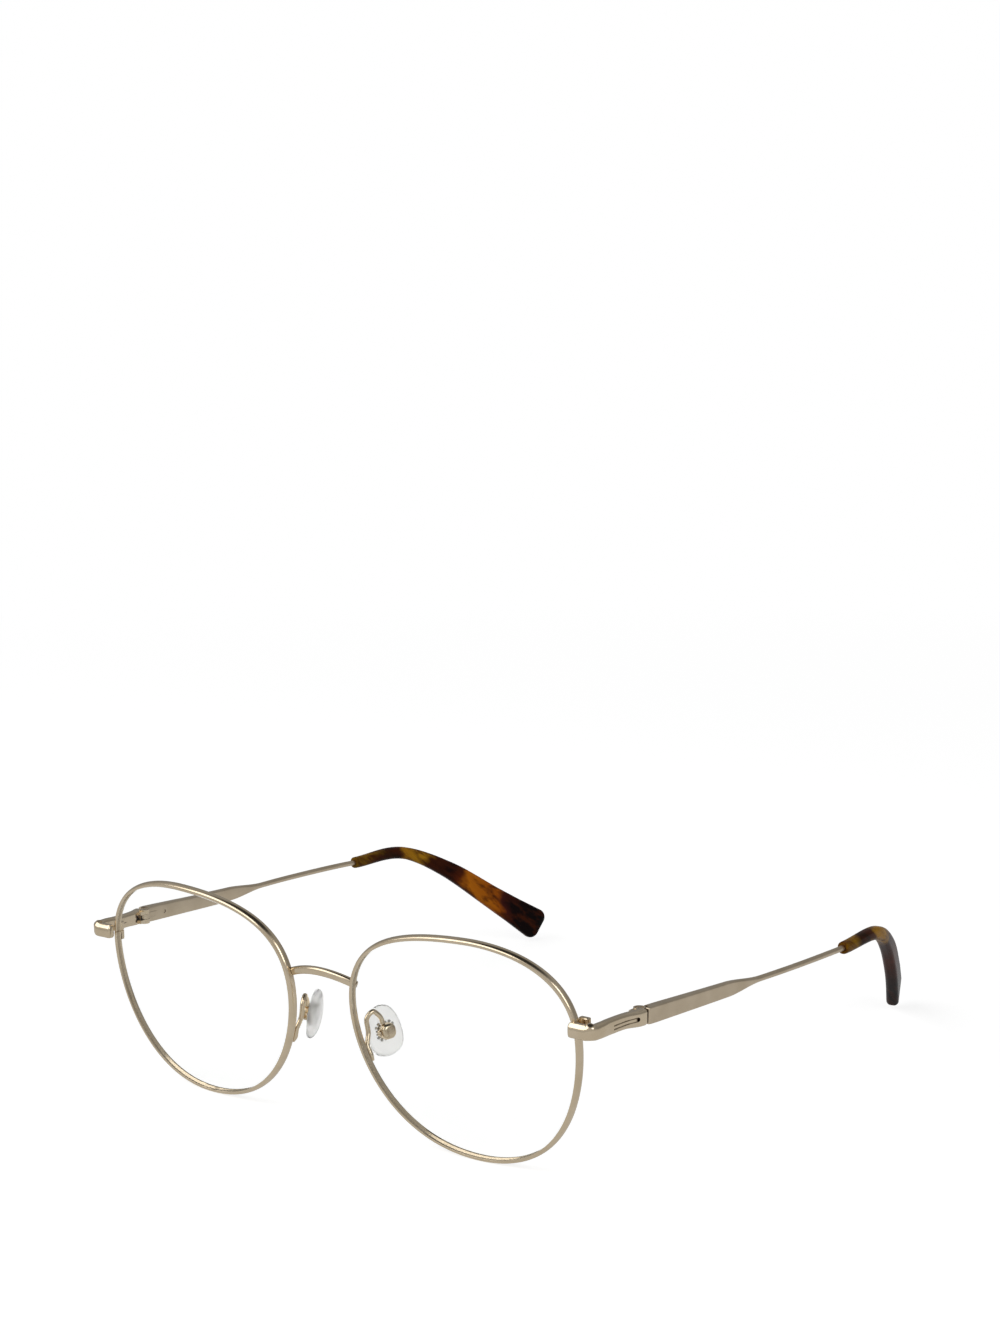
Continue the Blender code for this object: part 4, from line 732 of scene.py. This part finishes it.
def temple_tip():
    """Slim over the wire, bent down behind the ear and wide at its cut end."""
    rings = []
    for angle in np.radians((90, 60, 30, 0)):
        sizes = [size * (1 - 0.1 * (1 - cos(angle))) for size in (TIP_ROOT_THICK, TIP_SLIM, TIP_CORNER)]
        rings.append(temple_ring(TIP_START + TIP_LIP * (1 - sin(angle)), *sizes))
    full_end = TIP_END - TIP_ROUND
    for share in np.linspace(0.02, 1, 90):
        half = between(TIP_SLIM, TIP_WIDE, float(np.interp(share, TIP_SHARES, TIP_SWELL)))
        thick = between(TIP_ROOT_THICK, TIP_THICK, min(1, share / TIP_THICK_FROM))
        turn = TIP_TWIST * float(np.interp(share, TIP_TWIST_SPAN, (0, 1)))
        corner = min(TIP_CORNER, thick * 0.9)
        rings.append(temple_ring(between(TIP_START, full_end, share), thick, half, corner, 0, turn))
    for angle in np.radians(range(12, 85, 12)):
        loss = 1 - cos(angle)
        rings.append(temple_ring(full_end, TIP_THICK - TIP_EDGE * loss, TIP_WIDE - TIP_ROUND * loss,
                                 TIP_CORNER - TIP_EDGE * loss, TIP_ROUND * sin(angle), TIP_TWIST))
    bore = WIRE_RADIUS + SEAT_GAP
    hole = [wire_ring(back, bore) for back in (TIP_START - CORE_LEAD, *CORE_STATIONS)]
    hole.append(wire_ring(TIP_END - CORE_INSET, bore, SEAT_GAP))
    return cut(loft(rings), loft(hole))


# Nose pads


def pad_frame():
    """Directions on the pad: X back, Y up and Z outward to its box."""
    down = Vector((sin(PAD_LEAN), sin(PAD_PITCH), -cos(PAD_LEAN))).normalized()
    back = Vector((sin(PAD_SPLAY), cos(PAD_SPLAY), 0))
    back = (back - down * back.dot(down)).normalized()
    return axes_at(PAD_CENTRE, back, -down, back.cross(-down))


PAD_FRAME = pad_frame()


def pad_outline(scale, rise):
    """An egg, fuller at its lower end."""
    points = []
    for i in range(PAD_STEPS):
        angle = 2 * pi * i / PAD_STEPS
        blunt = (cos(angle) ** 4 + sin(angle) ** 4) ** PAD_BLUNT
        fuller = 1 - PAD_FULLER * sin(angle)
        points.append(Vector((PAD_WIDTH / 2 * fuller * cos(angle) * blunt * scale,
                              PAD_LENGTH / 2 * sin(angle) * blunt * scale, rise)))
    return points


def nose_pad():
    """A soft pad with a crowned face and a pocket for its insert."""
    rings = [pad_outline(scale, -PAD_CROWN * share) for scale, share in PAD_FACE]
    rings += [pad_outline(scale, PAD_BACK * share) for scale, share in PAD_REAR]
    half = INSERT_PLATE / 2
    gap = SEAT_GAP - TOOTH_DEPTH
    pocket = block((-half.x - gap, -half.y - gap, PAD_BACK - INSERT_PLATE.z),
                   (half.x + gap, half.y + gap, 2 * MM))
    return placed(cut(loft(rings), pocket), PAD_FRAME)


def toothed_outline():
    """The insert's plate: cut corners, and square teeth all round."""
    half = INSERT_PLATE / 2
    corners = []
    for x, y in ((-1, -1), (1, -1), (1, 1), (-1, 1)):
        beside = Vector((x * (half.x - INSERT_CORNER), y * half.y))
        above = Vector((x * half.x, y * (half.y - INSERT_CORNER)))
        corners += [above, beside] if x == y else [beside, above]
    points = []
    for start, end in zip(corners, corners[1:] + corners[:1]):
        along = (end - start).normalized()
        inward = Vector((-along.y, along.x))
        count = 2 * round((end - start).length / TOOTH_PITCH) + 1
        step = (end - start).length / count
        for i in range(count):
            sink = inward * TOOTH_DEPTH * (i % 2)
            points += [start + along * step * (i + share) + sink for share in (TOOTH_SLANT, 1 - TOOTH_SLANT)]
    return points


def pad_drill(reach, steps):
    """The hole for the pad's screw, across the box and the boss."""
    return drum(PAD_SCREW[0] + RUN_GAP, -reach, reach, turned_at((0, 0, PAD_AXIS_RISE), QUARTER, "Y"), steps)


def pad_insert():
    """The toothed plate bonded into the pad, with a drilled boss that stands in the box."""
    low = PAD_BACK - INSERT_PLATE.z / 2
    ring = toothed_outline()
    plate = loft([[Vector((p.x, p.y, level)) for p in ring] for level in (low, PAD_BACK + TOOTH_RISE)])
    post = Vector((BOSS.x / 2, BOSS.y / 2, PAD_AXIS_RISE + BOSS.z))
    boss = block((-post.x, -post.y, low), post)
    return placed(cut(combine(plate, (boss,), "UNION"), pad_drill(BOSS.x, 20)), PAD_FRAME)


def pad_box():
    """The cup on the arm's end, open to the pad and drilled across."""
    half = BOX_SIZE / 2
    top = BOX_START + BOX_SIZE.z
    rings = [(0.95, BOX_START), (1.0, BOX_START + 0.12 * MM)]
    for turn in np.linspace(0, pi / 2, 10)[:-1]:
        rings.append((0.52 + 0.48 * cos(turn), top - BOX_DOME * (1 - sin(turn))))
    rings += [(0.4, top + 0.01 * MM), (0.2, top + 0.02 * MM), (0.02, top + 0.024 * MM)]
    shell = loft([section(Vector((0, 0, level)), LEVEL, Vector((0, 1, 0)), half.x * share, half.y * share,
                          half.y * share * 0.84, 9) for share, level in rings])
    inner_x, inner_y = half.x - BOX_WALL * 1.6, half.y - BOX_WALL * 1.2
    room = block((-inner_x, -inner_y, 0), (inner_x, inner_y, top - BOX_WALL * 1.1), edge=0.3 * MM)
    return placed(cut(shell, room, pad_drill(3 * MM, 12)), PAD_FRAME)


def pad_screw():
    """The screw across the box on which the pad rocks, its head at the front."""
    seat = -BOX_SIZE.x / 2 - RUN_GAP
    rear = BOX_SIZE.x / 2 - RUN_GAP
    return slotted_screw(PAD_SCREW, rear - seat, PAD_FRAME @ turned_at((rear, 0, PAD_AXIS_RISE), -QUARTER, "Y"))


def arm_line():
    """The arm's stations: foot behind the rim, arch, and end on the box."""
    half_width, half_thickness = FOOT
    back = RIM_DEPTH / 2 + SEAT_GAP + half_thickness
    foot = [rim_point(angle, -0.05 * MM, back) for angle in np.linspace(FOOT_FROM, FOOT_TO, 4)]
    before, end = (PAD_FRAME @ Vector((-ARM_FORWARD, BOX_SIZE.y / 2 + gap, ARM_RISE))
                   for gap in (ARM_LEAD, SEAT_GAP))
    rows = [(*foot[0], 0.4 * half_width, 0.5 * half_thickness)]
    rows += [(*spot, *FOOT) for spot in foot[1:3]]
    rows += [(*(foot[3] + Vector((0, 0.1 * MM, 0))), ARM_RADIUS, ARM_RADIUS * 0.95)]
    return rows + [(*point, ARM_RADIUS, ARM_RADIUS) for point in (*ARM_ARCH, before, end)]


def pad_arm():
    """A wire that rises from a flat brazed foot, arches over and drops to the pad's box."""
    rows = smooth_row(arm_line(), 8)
    centres = [Vector(row[:3]) for row in rows]
    across = LEVEL
    rings = []
    for i, (*_, wide, tall) in enumerate(rows):
        ahead = row_direction(centres, i)
        across = (across - ahead * across.dot(ahead)).normalized()
        rings.append(section(centres[i], across, across.cross(ahead), wide, tall, min(wide, tall), 5))
    return cut(loft(rings), rim_room())


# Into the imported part's place


def finished(mesh, crease):
    """Smooth the round faces, keep the edges and even out the shading round cut places."""
    mesh.shade_smooth()
    mesh.set_sharp_from_angle(angle=radians(crease))
    obj = linked("shade", mesh)
    tuned(obj.modifiers.new("even", "WEIGHTED_NORMAL"), keep_sharp=True)
    return evaluated(obj)


def skin(name, mesh, look, body, nodes):
    """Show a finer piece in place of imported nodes, on their body."""
    mesh.materials.clear()
    mesh.materials.append(look)
    obj = linked(name, mesh)
    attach(obj, body)
    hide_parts(*nodes)
    return obj


def skins(name, mesh, look, body):
    """The bridge, or a left piece and its mirror image, in place of the nodes of its name."""
    made = []
    for side in ("",) if name == "bridge" else ("_left", "_right"):
        shape = mirrored(mesh) if side == "_right" else mesh.copy()
        where = body if body == "front" else body + side
        made.append(skin(name + side + "_skin", shape, look, where, [name + side]))
    return made


def marked(mesh, name, domain, values):
    """Give each face or point of a mesh the value that its look reads."""
    mesh.attributes.new(name, "FLOAT", domain).data.foreach_set("value", values)


def reach_to(spot, start, end):
    """Distance from a point to a piece of a line."""
    along = end - start
    share = min(1.0, max(0.0, (spot - start).dot(along) / along.length_squared))
    return (spot - start - along * share).length


def in_flute(spot):
    """Whether a point lies in one of the end piece's flutes or in its dimple."""
    near = min(reach_to(spot, start, end) for line in FLUTES for start, end in zip(line, line[1:]))
    hole = Vector((spot.y - DIMPLE.y, spot.z - HINGE.z)).length
    return near < FLUTE_WIDTH * 0.56 or (spot.x > HINGE.x and hole < DIMPLE_RADIUS * 1.05)


def end_piece_shade(mesh, face):
    """Painted shade on its seam and its slot's walls, its rear face, then its flutes and dimple."""
    at = face.center
    level = abs(at.z - HINGE.z)
    seam = SIDE_OUT - SIDE_THICKNESS / 2 + FLUTE_DEPTH * 1.2
    if level < SEAM_WIDTH * 0.6 and at.x < seam and at.y > MM:
        return 1.0
    if level < SLOT_WALL and at.y > HINGE.y - SLOT_REACH - TOUCH and at.x < HINGE.x + BARREL_RADIUS:
        return 1.0
    if at.y > COVER_Y - 2 * TOUCH and face.normal.y > FACING and at.x > HINGE.x:
        return 0.6
    return 0.4 * all(in_flute(mesh.vertices[i].co) for i in face.vertices)


def rim_shade(mesh, face):
    """Painted shade in the rim's lens groove, found by laying the front flat again."""
    x, y, z = face.center
    across = x - LENS_PITCH / 2
    back = y * cos(FRONT_TILT) + z * sin(FRONT_TILT)
    v = z * cos(FRONT_TILT) - y * sin(FRONT_TILT)
    u = across * cos(WRAP) + back * sin(WRAP)
    w = back * cos(WRAP) - across * sin(WRAP) - (u ** 2 + v ** 2) / (2 * BASE_RADIUS)
    out = Vector((u, v)).length - eye_radius(atan2(v, u)) + RIM_WIDTH / 2
    return 0.4 * (3 * TOUCH < out < GROOVE_DEPTH and abs(w) < GROOVE_HEIGHT / 2)


def temple_shade(mesh, face):
    """Painted shade in the temple's pocket, then on its front end."""
    spot = INTO_ROOT @ face.center
    inner = spot.y < BUSH_START + BUSH_LENGTH and abs(spot.z) < SLOT_WALL
    if inner and 0.1 * MM < spot.x < ROD_OFFSET + CARRIAGE_OUTER + RUN_GAP * 2:
        return 1.0
    return 0.6 * (face.normal.y < -FACING and spot.y < MM)


TOUCH = 0.01 * MM
FACING = 0.9
SLOT_WALL = EYE_THICKNESS / 2 + RUN_GAP * 1.5
INTO_ROOT = ROOT.inverted()


# Materials


class Nodes:
    """A node tree with short ways to add and join nodes."""

    def __init__(self, tree):
        self.tree = tree

    def add(self, kind, feeds=(), **values):
        """A node with its settings and with what feeds its sockets."""
        node = tuned(self.tree.nodes.new("ShaderNode" + kind), **values)
        self.feed(node, feeds)
        return node

    def feed(self, node, feeds):
        """Join a node's sockets to others or set their values; a colour needs no alpha."""
        for slot, value in dict(feeds).items():
            socket = node.inputs[slot]
            if isinstance(value, bpy.types.NodeSocket):
                self.tree.links.new(value, socket)
            else:
                socket.default_value = (*value, 1) if socket.type == "RGBA" else value

    def noise(self, scale, stretch=(1, 1, 1), detail=4.0, rough=0.55, place=None):
        """Noise in the piece's own space, in steps per metre."""
        shape = self.add("Mapping", {"Scale": [scale * s for s in stretch], "Vector": place or self.place})
        return self.add("TexNoise", {"Scale": 1.0, "Detail": detail, "Roughness": rough,
                                     "Vector": shape.outputs["Vector"]}).outputs["Fac"]

    def span(self, source, low, high, start=0.0, end=1.0):
        """Remap a value, clamped."""
        return self.add("MapRange", enumerate((source, start, end, low, high))).outputs[0]

    def ramp(self, source, stops):
        """A colour ramp with (place, colour) stops."""
        node = self.add("ValToRGB", {"Fac": source})
        band = node.color_ramp
        while len(band.elements) < len(stops):
            band.elements.new(0.5)
        for element, (spot, colour) in zip(band.elements, stops):
            tuned(element, position=spot, color=(*colour, 1))
        return node.outputs["Color"]

    def mix(self, factor, first, second):
        """Mix two colours."""
        return self.add("Mix", {0: factor, 6: first, 7: second}, data_type="RGBA").outputs[2]

    def math(self, operation, first, second=0.0):
        return self.add("Math", {0: first, 1: second}, operation=operation).outputs[0]

    def mark(self, name):
        """The value that the mesh carries under a name."""
        return self.add("Attribute", attribute_name=name).outputs["Fac"]

    def seen(self):
        """The light path, and 1 for what the camera sees directly or through a clear piece."""
        path = self.add("LightPath")
        return path, self.math("MAXIMUM", path.outputs["Is Camera Ray"], path.outputs["Is Transmission Ray"])


class Look(Nodes):
    """A material round one Principled shader."""

    def __init__(self, name):
        self.mat = bpy.data.materials.new(name)
        self.mat.use_nodes = True
        super().__init__(self.mat.node_tree)
        self.shader = self.tree.nodes["Principled BSDF"]
        self.place = self.add("TexCoord").outputs["Object"]

    def set(self, **values):
        """Set or join the shader's own sockets."""
        self.feed(self.shader, {key.replace("_", " "): value for key, value in values.items()})

    def show(self, shader):
        self.feed(self.tree.nodes["Material Output"], {"Surface": shader.outputs[0]})

    def bump(self, height, distance, strength):
        node = self.add("Bump", {"Strength": strength, "Distance": distance, "Height": height})
        self.set(Normal=node.outputs["Normal"])


# Painted shade: the dark colour that the hollows, seams and slots of the plated metal are painted with
PAINTED_SHADE_COLOUR = (0.16, 0.11, 0.07)


def plated(name, light, deep, rough, grain, stretch):
    """Plated metal: a slow drift of tone, fine directional grain, a few rubbed spots, and painted shade in the
    marked hollows.
    """
    look = Look(name)
    drift = look.span(look.noise(160, detail=2.0), 0.0, 1.0, 0.35, 0.65)
    rubbed = look.span(look.noise(900, detail=6.0, rough=0.7), 0.0, 0.25, 0.58, 0.74)
    tone = look.mix(rubbed, look.mix(drift, light, deep), [min(1.0, c * 1.06) for c in light])
    fine = look.noise(grain, stretch, detail=5.0, rough=0.6)
    wear = look.span(look.noise(420, detail=4.0), 0.0, 0.05, 0.4, 0.7)
    # Painted shade: the base colour turns dark where the mesh marks a hollow, seam or slot
    look.set(Metallic=1.0, Base_Color=look.mix(look.mark("painted_hollow_shade"), tone, PAINTED_SHADE_COLOUR),
             Roughness=look.math("ADD", look.span(fine, *rough, 0.3, 0.7), wear))
    look.bump(fine, 0.006 * MM, 0.35)
    return look.mat


def steel(name):
    """Bare spring steel with a drawn grain."""
    look = Look(name)
    fine = look.noise(6000, (1, 1, 0.12), detail=4.0)
    look.set(Metallic=1.0, Base_Color=look.ramp(fine, ((0.3, (0.42, 0.41, 0.39)), (0.7, (0.62, 0.61, 0.58)))),
             Roughness=look.span(fine, 0.24, 0.42))
    look.bump(fine, 0.004 * MM, 0.4)
    return look.mat


def clear_lens(name):
    """Acrylic demo lens: clear, a little glossy, and open to lamps and reflections."""
    look = Look(name)
    haze = look.noise(300, detail=3.0)
    look.set(Roughness=0.0, IOR=1.03, Transmission_Weight=1.0, Coat_Weight=0.3, Coat_Roughness=0.02,
             Base_Color=look.ramp(haze, ((0.35, (0.985, 0.99, 0.988)), (0.65, (0.995, 0.998, 0.996)))))
    clear = look.add("BsdfTransparent", {"Color": (0.99, 0.995, 0.992)})
    seen = look.add("LightPath").outputs["Is Camera Ray"]
    look.show(look.add("MixShader", {0: seen, 1: clear.outputs[0], 2: look.shader.outputs[0]}))
    return look.mat


def silicone(name):
    """Milky soft pad: half see-through, with a faint mould grain."""
    look = Look(name)
    cloud = look.noise(420, detail=3.0)
    grain = look.noise(5200, detail=3.0)
    look.set(IOR=1.22, Transmission_Weight=0.85, Subsurface_Weight=0.5, Subsurface_Scale=1.5 * MM,
             Subsurface_Radius=(1.0, 0.95, 0.85), Roughness=look.span(grain, 0.3, 0.4),
             Base_Color=look.ramp(cloud, ((0.35, (0.9, 0.895, 0.88)), (0.65, (0.94, 0.935, 0.92)))))
    look.bump(grain, 0.003 * MM, 0.15)
    return look.mat


# The clouds along each tip, from its root to its cut end
RIGHT_CLOUDS = (
    (0.0, (0.2, 0.1, 0.006)), (0.09, (0.24, 0.12, 0.007)), (0.15, (0.04, 0.012, 0.003)),
    (0.25, (0.012, 0.004, 0.002)), (0.31, (0.48, 0.21, 0.012)), (0.42, (0.52, 0.25, 0.013)),
    (0.47, (0.06, 0.012, 0.003)), (0.56, (0.014, 0.004, 0.003)), (0.6, (0.12, 0.02, 0.004)),
    (0.66, (0.6, 0.18, 0.008)), (0.76, (0.42, 0.1, 0.006)), (0.8, (0.07, 0.012, 0.008)),
    (0.85, (0.008, 0.003, 0.003)), (1.0, (0.005, 0.003, 0.003)))
LEFT_CLOUDS = (
    (0.0, (0.24, 0.11, 0.006)), (0.1, (0.3, 0.15, 0.008)), (0.16, (0.03, 0.01, 0.003)),
    (0.22, (0.03, 0.01, 0.003)), (0.27, (0.46, 0.22, 0.012)), (0.38, (0.52, 0.26, 0.014)),
    (0.45, (0.05, 0.014, 0.006)), (0.53, (0.05, 0.011, 0.006)), (0.62, (0.1, 0.022, 0.008)),
    (0.7, (0.04, 0.009, 0.005)), (0.8, (0.008, 0.003, 0.003)), (1.0, (0.005, 0.003, 0.003)))
VEIN = (0.07, 0.014, 0.004)
TIP_PITCH = radians(38)


def tortoise(name):
    """Cellulose acetate: amber clouds and near-black drifts, of its own on each tip."""
    look = Look(name)
    streaks = look.add("Mapping", {"Rotation": (TIP_PITCH, 0, 0), "Vector": look.place}).outputs["Vector"]
    drift = look.noise(230, (1.0, 0.32, 1.0), detail=3.0, rough=0.5, place=streaks)
    shifted = look.math("ADD", look.mark("along"), look.span(drift, -0.07, 0.07, 0.2, 0.8))
    sides = look.add("SeparateXYZ", {0: look.place})
    clouds = look.mix(look.math("GREATER_THAN", sides.outputs["X"]), look.ramp(shifted, RIGHT_CLOUDS),
                      look.ramp(shifted, LEFT_CLOUDS))
    veins = look.noise(620, (1.0, 0.13, 1.0), detail=3.0, rough=0.55, place=streaks)
    look.set(IOR=1.36, Specular_IOR_Level=0.08,
             Base_Color=look.mix(look.span(veins, 0.0, 0.85, 0.46, 0.66), clouds, VEIN),
             Roughness=look.span(look.noise(2500, detail=3.0), 0.2, 0.3))
    look.bump(look.noise(700, detail=2.0), 0.008 * MM, 0.15)
    return look.mat


# The studio


# The camera that took the photograph, in the part's frame: focal length in pixels of the photo's height
FOCUS_PIXELS, PHOTO_HEIGHT = 2442.49, 1334
CAMERA_PLACE = (0.32405, -0.440267, 0.173002)
CAMERA_AXES = ((0.798198, 0.602329, -0.008936), (-0.085278, 0.127670, 0.988144),
               (0.596328, -0.787972, 0.153272))


def set_camera():
    data = tuned(bpy.data.cameras.new("camera"), sensor_width=36.0, clip_start=0.01, clip_end=20.0)
    data.lens = FOCUS_PIXELS / PHOTO_HEIGHT * data.sensor_width
    place = axes_at(CAMERA_PLACE, *CAMERA_AXES)
    bpy.context.scene.camera = tuned(linked("camera", data), matrix_world=place)


def area_lamp(name, place, aim, size, power):
    wide, tall = size
    data = tuned(bpy.data.lights.new(name, "AREA"), shape="RECTANGLE", size=wide, size_y=tall, energy=power)
    turn = (Vector(aim) - Vector(place)).to_track_quat("-Z", "Y").to_euler()
    tuned(linked(name, data), location=place, rotation_euler=turn)


# The greys of the room's walls, from straight down to straight up
NEAR_WALL = ((0.0, 0.4), (0.49, 0.55), (0.62, 0.42), (0.72, 0.5), (0.86, 0.5), (0.92, 0.3), (0.96, 0.03))
FAR_WALL = ((0.0, 0.4), (0.49, 0.42), (0.54, 0.24), (0.7, 0.26), (0.85, 0.34), (0.92, 0.2), (0.96, 0.03))


def set_world():
    """White behind the object, with a soft grey room that lights it and that the metal mirrors."""
    world = bpy.data.worlds.new("studio")
    bpy.context.scene.world = world
    world.use_nodes = True
    room = Nodes(world.node_tree)
    parts = room.add("SeparateXYZ", {0: room.add("TexCoord").outputs["Generated"]})
    lift = room.span(parts.outputs["Z"], 0.0, 1.0, -1.0, 1.0)
    walls = [room.ramp(lift, [(spot, (grey,) * 3) for spot, grey in wall]) for wall in (NEAR_WALL, FAR_WALL)]
    sky = room.mix(room.span(parts.outputs["Y"], 0.0, 1.0, -0.5, 0.4), *walls)
    seen = room.seen()[1]
    room.feed(room.tree.nodes["Background"], {"Color": room.mix(seen, sky, (1, 1, 1)), "Strength": 1.0})


def set_floor():
    """A wide pale floor that stays white in view and keeps a faint shadow."""
    bm = bmesh.new()
    bmesh.ops.create_grid(bm, x_segments=1, y_segments=1, size=6.0)
    floor = linked("floor", written(bm, bpy.data.meshes.new("floor")))
    floor.location = (0, 0, -0.05 * MM)
    look = Look("floor_white")
    reach = look.add("VectorMath", {0: look.place}, operation="LENGTH")
    far = look.span(reach.outputs["Value"], 0.0, 1.0, 0.2, 0.8)
    look.set(Roughness=1.0, Specular_IOR_Level=0.0, Base_Color=look.mix(far, (0.5,) * 3, (0.0,) * 3))
    path, seen = look.seen()
    seen = look.math("MAXIMUM", seen, look.math("MULTIPLY", path.outputs["Is Glossy Ray"], 0.36))
    glow = look.add("Emission", {"Strength": look.math("MULTIPLY", seen, look.span(far, 0.78, 1.0))})
    look.show(look.add("AddShader", {0: look.shader.outputs[0], 1: glow.outputs[0]}))
    floor.data.materials.append(look.mat)


# Everything together


set_camera()
gold = plated("plated_gold_polished", (0.80, 0.67, 0.49), (0.74, 0.61, 0.43), (0.12, 0.2), 1500, (1, 1, 1))
satin = plated("plated_gold_satin", (0.74, 0.62, 0.46), (0.67, 0.555, 0.40), (0.28, 0.4), 3500, (1, 0.06, 1))
spring = steel("spring_steel")
acrylic = clear_lens("clear_acrylic")
milky = silicone("milky_silicone")
acetate = tortoise("tortoise_acetate")

GOLD = (gold, "polished_gold", "front")
# Each piece's shape, which has the node's name, the angle in degrees above which its edges stay sharp,
# its painted shade in hollows, seams and slots, its look, slot and body
for shape, crease, shade, look, slot, body in (
        (bridge, 32, None, *GOLD), (rim, 50, rim_shade, *GOLD), (lens, 40, None, acrylic, "demo_lens", "front"),
        (end_piece, 32, end_piece_shade, gold, "satin_gold", "front"),
        (hinge_screw, 32, None, *GOLD), (pad_arm, 32, None, *GOLD),
        (pad_box, 32, None, *GOLD), (pad_screw, 32, None, *GOLD),
        (pad_insert, 32, None, spring, "spring_steel", "pad"),
        (nose_pad, 40, None, milky, "silicone", "pad"),
        (temple, 32, temple_shade, satin, "satin_gold", "temple"),
        (temple_tip, 32, None, acetate, "tortoise_acetate", "temple")):
    name = shape.__name__
    mesh = finished(shape(), crease)
    if shade:
        # Painted shade: how dark each face in a hollow, seam or slot is painted
        marked(mesh, "painted_hollow_shade", "FACE", [shade(mesh, face) for face in mesh.polygons])
    if name == "temple_tip":
        start = HINGE.y + TIP_START
        marked(mesh, "along", "POINT", [(v.co.y - start) / (TIP_END - TIP_START) for v in mesh.vertices])
    mesh.transform(Matrix.Translation(SHIFT))
    for pad in skins(name, mesh, look, body):
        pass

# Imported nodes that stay, with a better material
for names, look in ((("rim_lock_upper", "rim_lock_lower", "rim_screw"), gold),
                    (("flex_slider", "bush_pin"), satin),
                    (("flex_stop", "flex_spring", "flex_bush"), spring)):
    for node in [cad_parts[name + side] for name in names for side in ("_left", "_right")]:
        for place in node.material_slots:
            place.material = look

set_world()
set_floor()
area_lamp("key", (-0.5, -0.8, 0.78), (0, 0, 0), (1.15, 0.95), 5.2)
area_lamp("side", (0.9, -0.3, 0.55), (0, 0, 0.02), (0.35, 0.6), 1.6)

bpy.context.scene.view_settings.view_transform = "Standard"
